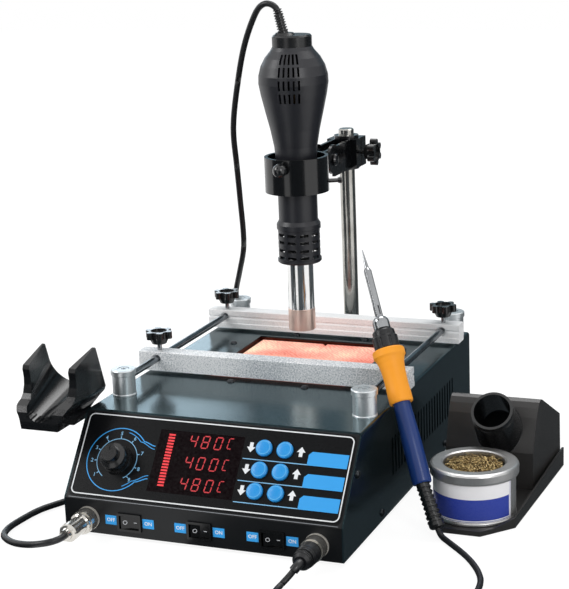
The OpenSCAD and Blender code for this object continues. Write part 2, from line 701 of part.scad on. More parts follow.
// Split band with two ears, and the pivot bolt through the arm
module holding_ring() {
    mid_y = gun_y;
    color("#17181b") {
        translate([0, mid_y, ring_z]) difference() {
            union() {
                cylinder(r = ring_r, h = ring_h);
                translate([-ear_x[1], ring_r - 3, 2]) cube([2 * ear_x[1], 10, ring_h - 4]);
            }
            translate([0, 0, -1]) cylinder(r = ring_r - ring_wall, h = ring_h + 2);
            translate([-ear_x[0], ring_r - 6, -1]) cube([2 * ear_x[0], 20, ring_h + 2]);
            for (a = [-93, 30, 150]) rotate([0, 0, a])
                translate([ring_r - 6, 0, a < 0 ? 23.4 : 7]) rotate([0, 90, 0]) cylinder(r = 1.9, h = 12);
        }
        for (s = [-1, 1]) along_x(min(s * ear_x[0], s * ear_x[1]), max(s * ear_x[0], s * ear_x[1])) {
            translate(arm_pivot) circle(9.5);
            translate([mid_y + ring_r, arm_pivot.y - 9.5]) square([arm_pivot.x - mid_y - ring_r, 19]);
        }
    }
    color("#2a2c30") for (s = [-1, 1]) translate([0, arm_pivot.x, arm_pivot.y]) rotate([0, s * 90, 0]) {
        translate([0, 0, ear_x[1] - e]) cylinder(r = 3, h = plate_x[1] - ear_x[1] + 0.4);
        translate([0, 0, plate_x[1] + 0.3]) rotate_extrude() polygon([[0, 0], [5.6, 0], [5.6, 1.2], [4.6, 2.6], [0, 3]]);
    }
}

// Three thumb screws that steady the gun in the ring
module ring_screws() {
    color("#202124") translate([0, gun_y, ring_z]) for (a = [-93, 30, 150]) rotate([0, 0, a])
        translate([20.2, 0, a < 0 ? 23.4 : 7]) rotate([0, 90, 0]) {
            cylinder(r = 1.85, h = a < 0 ? 12 : 16);
            if (a < 0) translate([0, 0, 14.4]) sphere(6.1);
            if (a > 0) translate([0, 0, 16]) cylinder(r1 = 2.6, r2 = 3, h = 3);
        }
}

// Space inside the handle's outline, drawn as [radius, height]
module handle_profile(inset, z0, z1) {
    in_zone = [for (p = handle_outline) if (p.x > z0 - e && p.x < z1 + e) p];
    polygon(concat([[0, in_zone[0].x]], [for (p = in_zone) [p.y - inset, p.x]], [[0, in_zone[len(in_zone) - 1].x]]));
}

// Half of the moulded handle: side -1 is the front, with the air slots
module gun_shell(side) {
    slot_rows = [327.2, 338.5, 349.7, 360];
    color("#1d1f23") translate([0, gun_y, 0]) difference() {
        intersection() {
            rotate_extrude() handle_profile(0, 0, 400);
            translate([-50, side < 0 ? -50 : 0.05, 200]) cube([100, 49.95, 200]);
        }
        rotate_extrude() translate([0, -e]) handle_profile(shell_t, 0, 400);
        translate([0, 0, handle_top - 2]) cylinder(r = 17.3 - shell_t, h = 4);
        for (z = slot_rows, i = [-2:2]) rotate([0, 0, i * 8.4 - side * 14])
            translate([-0.9, side < 0 ? -46 : 14, z - 4.1]) cube([1.8, 32, 8.2]);
    }
}

module gun_shell_front() { gun_shell(-1); }
module gun_shell_back() { gun_shell(1); }

// End cap with a low boss and the ribbed strain relief
module gun_end_cap() {
    relief_at = [-7.3, gun_y, cap_top];
    color("#141518") {
        translate([0, gun_y, handle_top]) rotate_extrude()
            polygon([[0, 0], [17.2, 0], [17.2, 8.6], [16, cap_top - handle_top], [0, cap_top - handle_top]]);
        translate([relief_at.x + 0.7, gun_y, cap_top - e]) cylinder(r1 = 9.2, r2 = 7.6, h = 1.6);
        translate(relief_at) rotate([0, -14, 0]) difference() {
            translate([0, 0, -0.5]) cylinder(r1 = 4.3, r2 = 3.8, h = 18.5);
            for (i = [0:5]) translate([0, 0, 4 + i * 2.25]) tube(6, 2.6, 1);
        }
    }
}

// Radial blower wheel inside the swollen end of the handle
module gun_fan() {
    color("#5a5d61") translate([0, gun_y, 330]) {
        cylinder(r = 21, h = 1.6);
        difference() {
            cylinder(r = 5, h = 13);
            translate([0, 0, 3]) cylinder(r = 1.6, h = 12);
        }
        for (k = [0:10]) rotate([0, 0, k * 360 / 11]) translate([8, -0.5, 1.5])
            cube([12.4, 1, 9]);
    }
}

// Motor on its spider, and the heater's wound core in a mica sleeve
module gun_heater() {
    color("#b9a27a") translate([0, gun_y, 0]) {
        translate([0, 0, 143]) tube(9.4, 0.8, 66);
        for (a = [0, 90]) rotate([0, 0, a]) translate([-8.6, -0.6, 145]) cube([17.2, 1.2, 60]);
        for (i = [0:10]) translate([0, 0, 148 + i * 5]) tube(6.6, 1.4, 1.6);
    }
    color("#5f6368") translate([0, gun_y, 0]) {
        translate([0, 0, 286]) cylinder(r = 12, h = 30);
        translate([0, 0, 316]) cylinder(r = 1.5, h = 13.6);
        for (k = [0:2]) rotate([0, 0, k * 120]) translate([11, -1.5, 292]) cube([6.6, 3, 5]);
    }
}

// Vented collar between the hot tube and the handle
module gun_collar() {
    slot_rows = [185.9, 192.4, 199.6, 206.1];
    color("#1a1b1e") translate([0, gun_y, 0]) difference() {
        union() {
            translate([0, 0, collar_z[0]]) rotate_extrude() polygon([[12.4, 0], [18.4, 0], [collar_r, 1],
                [collar_r, 3.4], [collar_r - 0.9, 3.8], [collar_r - 0.9, 29.6], [collar_r, 30.1],
                [collar_r, 34.2], [17.4, 37.6], [13.5, 37.6], [13.5, 35.4], [17, 32], [17, 2.4], [12.4, 2.4]]);
            translate([0, 0, collar_z[1] - 2]) tube(14.7, 1.2, 14);
        }
        for (z = slot_rows, k = [0:4]) rotate([0, 0, k * 36]) translate([-4, -30, z - 1.35]) cube([8, 60, 2.7]);
    }
}

// Stainless hot tube with the nozzle sleeve on its end
module gun_tube() {
    color("#c6c2bd") translate([0, gun_y, 0]) {
        translate([0, 0, nozzle_z + 19]) tube(nozzle_r - 0.3, 0.9, collar_z[1] - nozzle_z - 10);
        translate([0, 0, nozzle_z]) tube(nozzle_r, 1.2, 19);
    }
}

// Iron stand: tapered tray with side rims, a hollow raised holder and the slanted funnel
module iron_stand() {
    rear = 92;
    outline = [[-45, rear], [41, rear], [37, -61], [15, -87], [-15, -87], [-37, -61], [-44, 5]];
    inside = [[-43.3, rear + 1], [39.3, rear + 1], [35.3, -60.3], [12, -88], [-12, -88], [-35.3, -60.3], [-42.3, 5]];
    funnel_r = 17.5;
    color("#1d1e21") difference() {
        union() {
            translate([stand_x, 0, 0]) linear_extrude(base_t) polygon(outline);
            // Side rims, lower towards the front
            intersection() {
                translate([stand_x, 0, 0]) linear_extrude(20) difference() {
                    polygon(outline);
                    polygon(inside);
                }
                along_x(stand_x - 50, stand_x + 50)
                    polygon([[rear, 0], [rear, 16.5], [-61, 8.5], [-76, base_t], [-87, base_t], [-87, 0]]);
            }
            // Raised holder with its slanted face
            intersection() {
                along_x(stand_x - 50, stand_x + 50) polygon([[14, 0], [14, 36], [16, 42], [19.5, 52], [24, 64],
                    [28, 71.5], [31.5, 75.5], [35, 76.8], [39, 76.2], [90, 48], [rear, 0]]);
                translate([stand_x, 0, 0]) linear_extrude(90) polygon([[-42.5, 0], [32, 0], [38, rear], [-42.5, rear]]);
            }
            translate(funnel_at) rotate([90 - funnel_tilt, 0, 0]) translate([0, 0, -46]) {
                cylinder(r1 = 20.5, r2 = funnel_r + 0.6, h = 40);
                cylinder(r = funnel_r, h = 46);
            }
        }
        // Hollow inside the holder, open underneath
        intersection() {
            along_x(stand_x - 50, stand_x + 50) polygon([[16.6, -1], [16.6, 35.6], [18.5, 41], [22, 51], [26.4, 62.8],
                [30.2, 69.8], [33, 72.8], [35.5, 73.8], [38.4, 73.3], [87.6, 45.6], [rear - 2.6, -1]]);
            translate([stand_x, 0, -1]) linear_extrude(90) polygon([[-39.9, 0], [29.6, 0], [35.4, rear], [-39.9, rear]]);
        }
        translate(funnel_at) rotate([90 - funnel_tilt, 0, 0]) translate([0, 0, -60]) cylinder(r = funnel_r - 2.2, h = 70);
    }
}

module tin_can() {
    wall = 0.6;
    color("#c8c6c2") translate([tin_at.x, tin_at.y, base_t]) rotate_extrude() polygon([[0, 0], [33.2, 0], [34, 0.8],
        [34, 2], [33.4, 2.8], [33.4, tin_h - 1], [33.4 - wall, tin_h - 1], [33.4 - wall, 1.4], [32.4, 1], [0, 1]]);
}

// Rolled ring that closes the tin down to its round mouth
module tin_ring() {
    color("#d2d0cc") translate([tin_at.x, tin_at.y, base_t + tin_h - 8]) rotate_extrude() polygon([[33.8, 0], [34.8, -0.4],
        [tin_r - 0.3, 0.4], [tin_r, 1.4], [tin_r, 7], [tin_r - 0.8, 8.4], [tin_r - 2.4, 9], [26.4, 9], [25, 8.2], [25, 5.6],
        [25.6, 5.6], [25.8, 7.6], [26.6, 8.2], [33.8, 8.2]]);
}

module brass_wool() {
    color("#b98a3e") translate([tin_at.x, tin_at.y, base_t + 1.4]) rotate_extrude() polygon([[0, 0], [31.6, 0], [32.2, 2],
        [32.2, tin_h - 11], [25.6, tin_h - 9.6], [24, tin_h - 8.4], [18, tin_h - 6], [8, tin_h - 5], [0, tin_h - 4.8]]);
}

// Places the iron's pieces: Z runs from the cord's end to the tip
module along_iron() {
    translate(iron_end) rotate([0, iron_tilt, iron_turn]) children();
}

// Tip, heater sleeve, clamping nut and the black collar below it
module iron_tip() {
    along_iron() {
        color("#b9bbbd") difference() {
            rotate_extrude() polygon([[0, 160], [3.3, 160], [3.3, 219], [1.9, 221.5], [1.5, 226],
                [0.5, iron_len - 0.4], [0.2, iron_len], [0, iron_len]]);
            for (a = [0, 90]) rotate([0, 0, a]) translate([-4, -0.6, 179.5]) cube([8, 1.2, 8]);
        }
        color("#c9cbcc") rotate_extrude() polygon([[0, 167], [6.4, 167], [6.95, 167.8], [6.95, 173.6],
            [6.5, 175.4], [5.4, 177], [4, 178], [0, 178]]);
        color("#151619") difference() {
            rotate_extrude() polygon([[0, 149.7], [10, 149.7], [10.5, 150.6], [10.5, 160.1], [9.4, 161],
                [9.2, 165.2], [8.4, 166.2], [0, 166.9]]);
            for (k = [0:7]) rotate([0, 0, k * 45]) translate([10.9, 0, 151.6]) cylinder(r = 1.2, h = 7.4, $fn = 16);
        }
    }
}

module iron_handle() {
    color("#23418f") along_iron() rotate_extrude() polygon([[0, handle_from + 4], [6.3, handle_from + 4],
        [6.3, handle_from], [7.2, handle_from], [7.8, handle_from + 1], [handle_r, handle_from + 3.5],
        [handle_r, 73], [7.1, 98], [7.1, 104.6], [6, 108.6], [6, 146.4], [0, 146.4]]);
}

// Soft grip with a waist and a flange below the collar
module iron_grip() {
    color("#ffa01e") along_iron() rotate_extrude() polygon([[7.4, 104], [9.2, 104], [9.8, 105], [9.8, 112],
        [9.5, 118], [9.5, 125], [9.9, 132], [10.7, 138], [12, 141.8], [grip_r, 143.6], [grip_r, 148.4],
        [12.6, 149.4], [10, 149.4], [10, 147.2], [6.3, 147.2], [6.3, 109], [7.4, 104.8]]);
}

// Ribbed boot, bent a little to the right, where the cord leaves the handle
module iron_relief() {
    top_at = iron_end + handle_from / iron_len * iron_run;
    run = top_at - boot_end;
    boot_len = norm(run);
    color("#141518") translate(boot_end) rotate([0, acos(run.z / boot_len), atan2(run.y, run.x)]) difference() {
        rotate_extrude() polygon([[0, 0.1], [4.6, 0.1], [5.8, 0.9], [6.3, 2.6], [6.2, 8], [5.6, 16],
            [5.4, boot_len], [5.3, boot_len + 2.4], [0, boot_len + 2.4]]);
        for (i = [0:6]) translate([0, 0, 7 + i * 4]) tube(9, 4.1, 1.6);
    }
}

// Plugs in the two front sockets: a metal one on the gun's cord and a booted one on the iron's
module cord_plugs() {
    boot_turn = 60;
    boot_lean = -35;
    boot_bend = 9;
    translate([0, front_y, socket_z]) {
        translate([-socket_x, 0, 0]) facing_front() color("#c6c4be") {
            translate([0, 0, 2.6]) tube(9.6, 1.5, 9.4);
            rotate_extrude() polygon([[0, 0.6], [6.7, 0.6], [6.7, 11.8], [8.8, 12.2], [8.8, 15], [7.4, 16.4], [7, 27],
                [7.6, 27.6], [7.6, 34], [6.8, 35.4], [5, 36], [4.6, 40], [0, 40]]);
        }
        translate([socket_x, 0, 0]) facing_front() {
            color("#c6c4be") {
                translate([0, 0, 2.6]) tube(9.6, 1.5, 9.4);
                rotate_extrude() polygon([[0, 0.6], [6.7, 0.6], [6.7, 11.8], [8.8, 12.2], [8.8, 14], [0, 14]]);
            }
            color("#131416") {
                rotate_extrude() polygon([[0, 14], [8.4, 14], [8.4, 22], [7.8, 22.4], [7.8, 24], [8.2, 24.4], [8, 27],
                    [7.2, 27.4], [7.2, 29], [7.6, 29.4], [7.2, 32], [5, 35], [0, 35]]);
                rotate([0, 0, boot_lean]) translate([0, -boot_bend, 35]) rotate([90, 0, 90])
                    rotate_extrude(angle = boot_turn) translate([boot_bend, 0]) circle(3.6);
            }
        }
    }
}

module gun_cord_upper() { color("#17181a") cord(gun_route_upper, gun_cord_d, 10); }
module gun_cord_lower() { color("#17181a") cord(gun_route_lower, gun_cord_d, 10); }

module iron_cord() {
    color("#17181a") {
        cord(iron_route_lead, iron_cord_d, 8);
        cord(iron_route_tail, iron_cord_d, 8);
    }
}

// Outer shape of the coiled rest of the iron's cord
module iron_coil() {
    wide = coil_turns_wide * iron_cord_d;
    color("#17181a") translate([coil_at.x, coil_at.y, 0.1]) rotate_extrude()
        translate([coil_mid_r - wide / 2, 0]) square([wide, coil_turns_high * iron_cord_d]);
}

base_tray();
top_cover();
front_panel();
rear_panel();
panel_overlay();
display_window();
control_boards();
switch_frames();
panel_sockets();
mains_inlet();
heater_tray();
heater_tiles();
bar_posts();
guide_rods();
pole();
pole_bracket();
gun_cradle();
cover_screws();
rubber_feet();
air_knob();
rocker_air();
rocker_preheat();
rocker_iron();
button_air_down();
button_air_up();
button_plate_down();
button_plate_up();
button_iron_down();
button_iron_up();
front_bar();
rear_bar();
knob_front_left();
knob_front_right();
knob_rear_left();
knob_rear_right();
pole_bush();
swing_arm();
clamp_knob();
holding_ring();
ring_screws();
gun_shell_front();
gun_shell_back();
gun_end_cap();
gun_fan();
gun_heater();
gun_collar();
gun_tube();
iron_stand();
tin_can();
tin_ring();
brass_wool();
iron_tip();
iron_handle();
iron_grip();
iron_relief();
cord_plugs();
gun_cord_upper();
gun_cord_lower();
iron_cord();
iron_coil();
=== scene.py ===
import math
import bpy
import numpy as np
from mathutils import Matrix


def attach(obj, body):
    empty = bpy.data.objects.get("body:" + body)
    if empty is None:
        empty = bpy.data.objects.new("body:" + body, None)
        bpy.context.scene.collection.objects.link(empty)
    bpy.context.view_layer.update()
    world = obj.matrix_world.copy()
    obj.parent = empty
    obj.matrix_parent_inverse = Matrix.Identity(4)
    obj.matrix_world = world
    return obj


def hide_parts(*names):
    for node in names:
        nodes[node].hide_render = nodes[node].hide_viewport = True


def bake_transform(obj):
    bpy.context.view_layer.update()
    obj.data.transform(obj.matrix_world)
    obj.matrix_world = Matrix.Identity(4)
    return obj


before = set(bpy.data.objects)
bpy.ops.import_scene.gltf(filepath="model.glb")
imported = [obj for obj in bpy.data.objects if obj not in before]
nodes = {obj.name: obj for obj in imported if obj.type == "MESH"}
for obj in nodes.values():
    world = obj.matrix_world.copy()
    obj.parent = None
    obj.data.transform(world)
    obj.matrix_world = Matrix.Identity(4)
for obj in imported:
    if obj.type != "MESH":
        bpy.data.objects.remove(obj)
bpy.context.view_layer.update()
scene = bpy.context.scene
print("frame loaded:", len(nodes), "nodes")

mm = 0.001
grainDepth = 0.00004  # relief of a fine moulded or coated grain, in metres


def linear(hexColour):
    # sRGB to linear light: c / 12.92 when small, else ((c + 0.055) / 1.055) to the power 2.4
    c = np.array([int(hexColour[i:i + 2], 16) for i in (1, 3, 5)]) / 255
    return (*np.where(c <= 0.04045, c / 12.92, ((c + 0.055) / 1.055) ** 2.4).tolist(), 1.0)


def addNode(tree, kind, settings=None, links=None):
    # a node with its settings and links; a link given as a node comes from that node's first output.
    # Mix sockets go by number: 0 factor, 2 and 3 values, 6 and 7 colours
    node = tree.nodes.new("ShaderNode" + kind)
    for name, value in (settings or {}).items():
        if isinstance(name, str) and hasattr(node, name):
            setattr(node, name, value)
        else:
            node.inputs[name].default_value = value
    for name, source in (links or {}).items():
        tree.links.new(source.outputs[0] if hasattr(source, "outputs") else source, node.inputs[name])
    return node


def startMaterial(name, sockets):
    # a bare Principled surface, its output and the object's own coordinates
    material = bpy.data.materials.new(name)
    material.use_nodes = True
    tree = material.node_tree
    tree.nodes.clear()
    shader = addNode(tree, "BsdfPrincipled", sockets)
    addNode(tree, "OutputMaterial", links={"Surface": shader})
    place = addNode(tree, "TexCoord").outputs["Object"]
    return material, tree, shader, place


def dress(tree, shader, dark, pale, tone, grain, sheen, relief):
    # the tone runs from dark to pale; the grain is mapped to roughness (from, from, to, to) and raised as relief
    colour = addNode(tree, "Mix", {"data_type": "RGBA", 6: linear(dark), 7: linear(pale)}, {0: tone})
    spans = dict(zip(("From Min", "From Max", "To Min", "To Max"), sheen))
    polish = addNode(tree, "MapRange", spans, {"Value": grain})
    bump = addNode(tree, "Bump", dict(zip(("Strength", "Distance"), relief)), {"Height": grain})
    tree.links.new(colour.outputs[2], shader.inputs["Base Color"])
    tree.links.new(polish.outputs[0], shader.inputs["Roughness"])
    tree.links.new(bump.outputs[0], shader.inputs["Normal"])
    return colour, polish


def mottle(tree, shader, place, dark, pale, grainMm, rough, spread=0.06, bump=grainDepth, strength=0.35):
    # slow colour drift over 40 mm, and a fine grain that drives both the roughness and the relief
    drift = addNode(tree, "TexNoise", {"Scale": 25.0, "Detail": 3.0}, {"Vector": place})
    grain = addNode(tree, "TexNoise", {"Scale": 1000 / grainMm, "Detail": 2.0}, {"Vector": place})
    colour, _ = dress(tree, shader, dark, pale, drift, grain,
                      (0.3, 0.7, rough - spread, rough + spread), (strength, bump))
    return colour


def powderCoat(name, dark, pale, rough, mirror, grainMm=0.9, bump=grainDepth, ior=1.5, tint="#ffffff"):
    # powder-coated steel: melted grains leave a fine orange peel about a millimetre across
    material, tree, shader, place = startMaterial(name, {"IOR": ior, "Specular IOR Level": mirror,
                                                         "Specular Tint": linear(tint)})
    mottle(tree, shader, place, dark, pale, grainMm, rough=rough, bump=bump)
    return material


def mouldedPlastic(name, dark, pale, rough, grainMm, coat=0.0, mirror=0.4):
    # injection-moulded ABS or nylon: spark-eroded texture, half a millimetre coarse so that it shows
    material, tree, shader, place = startMaterial(name, {"IOR": 1.48, "Coat Weight": coat, "Coat Roughness": 0.1,
                                                         "Specular IOR Level": mirror})
    mottle(tree, shader, place, dark, pale, grainMm, rough=rough, spread=0.05)
    return material


def drawnMetal(name, dark, pale, stretch, rough, lineMm=0.35):
    # drawn or ground metal: hair lines a third of a millimetre apart run along the way it was drawn
    material, tree, shader, place = startMaterial(name, {"Metallic": 1.0})
    along = addNode(tree, "Mapping", {"Scale": tuple(0.02 if s else 1.0 for s in stretch)}, {"Vector": place})
    hair = addNode(tree, "TexNoise", {"Scale": 1000 / lineMm, "Detail": 3.0}, {"Vector": along})
    cloud = addNode(tree, "TexNoise", {"Scale": 45.0, "Detail": 4.0}, {"Vector": place})
    both = addNode(tree, "Math", {"operation": "MULTIPLY"}, {0: hair, 1: cloud})
    spread = addNode(tree, "MapRange", {"From Min": 0.12, "From Max": 0.4}, {"Value": both})
    dress(tree, shader, dark, pale, spread, hair, (0, 1, rough - 0.07, rough + 0.09),
          (0.25, 0.00003))
    return material


def castMetal(name, dark, pale, grainMm, metallic, rough=0.5, bump=0.0001):
    # bead-blasted and anodised casting: the oxide skin scatters, and pits and grains a millimetre wide sparkle
    material, tree, shader, place = startMaterial(name, {"Metallic": metallic})
    pits = addNode(tree, "TexNoise", {"Scale": 1000 / grainMm, "Detail": 3.0, "Roughness": 0.7}, {"Vector": place})
    drift = addNode(tree, "TexNoise", {"Scale": 14.0, "Detail": 2.0}, {"Vector": place})
    both = addNode(tree, "Math", {"operation": "MULTIPLY_ADD", 1: 0.35}, {0: drift, 2: pits})
    spread = addNode(tree, "MapRange", {"From Min": 0.48, "From Max": 0.76}, {"Value": both})
    dress(tree, shader, dark, pale, spread, pits, (0.3, 0.7, rough + 0.1, rough - 0.1),
          (0.35, bump))
    return material


def turnedMetal(name, dark, pale, rough, ringMm=0.4, glowSleeve=None, groove=0.05):
    # lathe-turned metal: feed marks ring the axis, so they change with height alone
    material, tree, shader, place = startMaterial(name, {"Metallic": 1.0})
    up = addNode(tree, "Mapping", {"Scale": (0.03, 0.03, 1.0)}, {"Vector": place})
    rings = addNode(tree, "TexNoise", {"Scale": 1000 / ringMm, "Detail": 2.0}, {"Vector": up})
    smear = addNode(tree, "TexNoise", {"Scale": 60.0, "Detail": 3.0}, {"Vector": place})
    colour, polish = dress(tree, shader, dark, pale, smear, rings,
                           (0, 1, rough - 0.06, rough + 0.08), (groove, 0.00003))
    if glowSleeve:
        # the wider sleeve at the mouth is duller than the tube above it; its pale pink is a painted reflection of the
        # heater's glow
        height = addNode(tree, "SeparateXYZ", links={"Vector": place})
        above = addNode(tree, "MapRange", {"From Min": glowSleeve["below"] - 0.0004, "From Max": glowSleeve["below"]},
                        {"Value": height.outputs["Z"]})
        patch = addNode(tree, "TexNoise", {"Scale": 90.0, "Detail": 2.0}, {"Vector": place})
        reflectedPink, reflectedPale = (linear(c) for c in glowSleeve["colours"])
        paintedGlow = addNode(tree, "Mix", {"data_type": "RGBA", 6: reflectedPink, 7: reflectedPale}, {0: patch})
        base = addNode(tree, "Mix", {"data_type": "RGBA"}, {0: above, 6: paintedGlow.outputs[2], 7: colour.outputs[2]})
        dull = addNode(tree, "Mix", {"data_type": "FLOAT", 2: glowSleeve["rough"]}, {0: above, 3: polish})
        tree.links.new(base.outputs[2], shader.inputs["Base Color"])
        tree.links.new(dull.outputs[0], shader.inputs["Roughness"])
    return material


def printedInk(name, hexColour, rough=0.45):
    # screen-printed ink, used as well for painted highlights: even colour, a little thin where the mesh left pin holes
    material, tree, shader, place = startMaterial(name, {"IOR": 1.45})
    ink = mottle(tree, shader, place, hexColour, hexColour, 0.4, rough, spread=0.05, strength=0.15)
    ink.inputs[6].default_value = tuple(v * 0.93 for v in linear(hexColour)[:3]) + (1.0,)
    return material


def lightedSegment(name, hexColour, glow):
    # light-emitting segment behind its lens: the red wavers a little from one millimetre to the next
    material, tree, shader, place = startMaterial(name, {"Base Color": linear(hexColour), "Roughness": 0.4,
                                                         "Emission Strength": glow})
    cells = addNode(tree, "TexNoise", {"Scale": 900.0, "Detail": 1.0}, {"Vector": place})
    tint = addNode(tree, "Mix", {"data_type": "RGBA", 6: linear(hexColour), 7: linear("#d8202c")}, {0: cells})
    tree.links.new(tint.outputs[2], shader.inputs["Emission Color"])
    return material


def glowingTile(name, cool=(-0.002, 0.013)):
    # glazed ceramic at red heat: salmon all over, straw-coloured where a coil lies under the glaze
    material, tree, shader, place = startMaterial(name, {"Base Color": linear("#7a2a18"), "Roughness": 0.3})
    spots = addNode(tree, "TexNoise", {"Scale": 24.0, "Detail": 1.0}, {"Vector": place})
    # the coil's turns show as fine wavy lines 2 mm apart
    turns = addNode(tree, "TexWave", {"Scale": 150.0, "Distortion": 5.0, "Detail": 1.0,
                    "bands_direction": "DIAGONAL", "Detail Scale": 1.4}, {"Vector": place})
    mixed = addNode(tree, "Math", {"operation": "MULTIPLY_ADD", 1: 0.17}, {0: turns.outputs["Fac"], 2: spots})
    heat = addNode(tree, "ValToRGB", links={"Fac": mixed})
    ramp = heat.color_ramp
    ramp.elements[0].position, ramp.elements[0].color = 0.36, linear("#d4796a")
    ramp.elements[1].position, ramp.elements[1].color = 0.84, linear("#fcefcc")
    middleTone = ramp.elements.new(0.6)
    middleTone.color = linear("#f3b29e")
    # the front of the field, under the bar, is the coolest: the glow grows between two places along Y
    part = addNode(tree, "SeparateXYZ", links={"Vector": place})
    ahead = addNode(tree, "MapRange", {"interpolation_type": "SMOOTHSTEP", "From Min": cool[0],
                    "From Max": cool[1], "To Min": 0.03, "To Max": 1.0}, {"Value": part.outputs["Y"]})
    # the eye sees the glow at 1, and what stands near is lit by that; mirrored rays see it dimmer
    path = addNode(tree, "LightPath")
    power = addNode(tree, "Mix", {"data_type": "FLOAT", 2: 1.0, 3: 0.15}, {0: path.outputs["Is Glossy Ray"]})
    strength = addNode(tree, "Math", {"operation": "MULTIPLY"}, {0: power, 1: ahead})
    tree.links.new(heat.outputs[0], shader.inputs["Emission Color"])
    tree.links.new(strength.outputs[0], shader.inputs["Emission Strength"])
    return material


def zoned(name, zones, mask):
    # one CAD node of two finishes: the mask is 0 where the first one shows and 1 where the second does
    material = bpy.data.materials.new(name)
    material.use_nodes = True
    tree = material.node_tree
    tree.nodes.clear()
    place = addNode(tree, "TexCoord").outputs["Object"]
    shaders = []
    for zone in zones:
        shader = addNode(tree, "BsdfPrincipled", zone["sockets"])
        mottle(tree, shader, place, zone["dark"], zone["pale"], zone["grainMm"], zone["rough"],
               bump=zone.get("bump", grainDepth))
        shaders.append(shader)
    pick = mask(tree, place)
    blend = addNode(tree, "MixShader", links={0: pick, 1: shaders[0], 2: shaders[1]})
    addNode(tree, "OutputMaterial", links={"Surface": blend})
    return material


def meshObject(name, verts, faces, material, smooth=True):
    # an object at the origin whose place is in its mesh
    mesh = bpy.data.meshes.new(name)
    mesh.from_pydata(np.asarray(verts, float).tolist(), [], [list(map(int, f)) for f in faces])
    mesh.validate()
    mesh.polygons.foreach_set("use_smooth", np.full(len(mesh.polygons), smooth))
    mesh.materials.append(material)
    thing = bpy.data.objects.new(name, mesh)
    scene.collection.objects.link(thing)
    return thing


def ridingPiece(name, verts, faces, material, body, smooth=True):
    # a piece that goes with one body
    piece = meshObject(name, verts, faces, material, smooth)
    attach(piece, body)


def gridFaces(rows, columns, wrapRows, wrapColumns):
    # each face joins a grid point with the next along the row, the diagonal one and the next down
    i, j = np.meshgrid(np.arange(rows if wrapRows else rows - 1),
                       np.arange(columns if wrapColumns else columns - 1), indexing="ij")
    ni, nj = (i + 1) % rows, (j + 1) % columns
    return np.stack([i * columns + j, i * columns + nj, ni * columns + nj, ni * columns + j], -1).reshape(-1, 4)


def tubeGrid(path, radius, sides):
    # circle of the radius carried along the path, square to its direction at each point
    path = np.asarray(path, float)
    way = np.gradient(path, axis=0)
    way /= np.linalg.norm(way, axis=1, keepdims=True)
    askew = np.array([0.31, 0.87, 0.38])  # no stretch of a cord runs along it, so it can set where each circle starts
    side = askew - (way @ askew)[:, None] * way
    side /= np.linalg.norm(side, axis=1, keepdims=True)
    other = np.cross(way, side)
    turn = np.linspace(0, 2 * np.pi, sides, endpoint=False)
    ring = np.cos(turn)[None, :, None] * side[:, None, :] + np.sin(turn)[None, :, None] * other[:, None, :]
    return path[:, None, :] + radius * ring


def closedTube(grid):
    # walls of the grid, with a fan to a middle point at each end
    rows, sides = grid.shape[:2]
    verts = np.vstack([grid.reshape(-1, 3), grid[0].mean(0), grid[-1].mean(0)])
    walls = gridFaces(rows, sides, False, True)
    k = np.arange(sides)
    first = np.stack([np.full(sides, rows * sides), (k + 1) % sides, k], -1)
    row = (rows - 1) * sides
    last = np.stack([np.full(sides, rows * sides + 1), row + k, row + (k + 1) % sides], -1)
    return verts, [*walls.tolist(), *first.tolist(), *last.tolist()]


def smoothRoute(points, perSpan):
    # curve through the route's points: each span is a cubic whose knots lie the root of the gap apart
    p = np.asarray(points, float)
    q = np.vstack([2 * p[0] - p[1], p, 2 * p[-1] - p[-2]])
    gap = np.sqrt(np.linalg.norm(np.diff(q, axis=0), axis=1))
    knot = np.concatenate([[0], np.cumsum(gap)])
    out = []
    for i in range(1, len(q) - 2):
        t = np.linspace(knot[i], knot[i + 1], perSpan, endpoint=False)[:, None]
        k0, k1, k2, k3 = knot[i - 1:i + 3]
        a1 = (k1 - t) / (k1 - k0) * q[i - 1] + (t - k0) / (k1 - k0) * q[i]
        a2 = (k2 - t) / (k2 - k1) * q[i] + (t - k1) / (k2 - k1) * q[i + 1]
        a3 = (k3 - t) / (k3 - k2) * q[i + 1] + (t - k2) / (k3 - k2) * q[i + 2]
        b1 = (k2 - t) / (k2 - k0) * a1 + (t - k0) / (k2 - k0) * a2
        b2 = (k3 - t) / (k3 - k1) * a2 + (t - k1) / (k3 - k1) * a3
        out.append((k2 - t) / (k2 - k1) * b1 + (t - k1) / (k2 - k1) * b2)
    return np.vstack([*out, p[-1:]])


def lengthOf(path):
    # sum of the straight gaps between the points
    return float(np.linalg.norm(np.diff(path, axis=0), axis=1).sum())


def joined(parts):
    # several vertex and face lists as one
    verts, faces, base = [], [], 0
    for v, f in parts:
        verts.append(np.asarray(v, float))
        faces += [[int(k) + base for k in face] for face in f]
        base += len(v)
    return np.vstack(verts), faces


view = {"at": (0.5397, -1.2793, 0.5117), "yaw": 22.59, "pitch": 14.08, "roll": -2.27, "lens": 102.27, "sensor": 36,
        "clip": (0.05, 50)}
lamps = {
    "keyBox": {"at": (-1.6, -1.0, 1.5), "towards": (0, 0, 0.1), "size": (0.9, 1.3), "watts": 24, "colour": "#ffffff"},
    "fillBox": {"at": (1.5, -1.3, 0.9), "towards": (0, 0, 0.12), "size": (0.5, 1.4), "watts": 12, "colour": "#ffffff"},
    "topBox": {"at": (0.1, 0.9, 1.9), "towards": (0, 0.1, 0.1), "size": (1.6, 0.9), "watts": 16, "colour": "#ffffff"},
    "sheenBox": {"at": (-1.8, 2.1, 0.84), "towards": (0, 0, 0.09), "size": (1.5, 0.34), "watts": 5,
                 "colour": "#e4f2ff"},
}


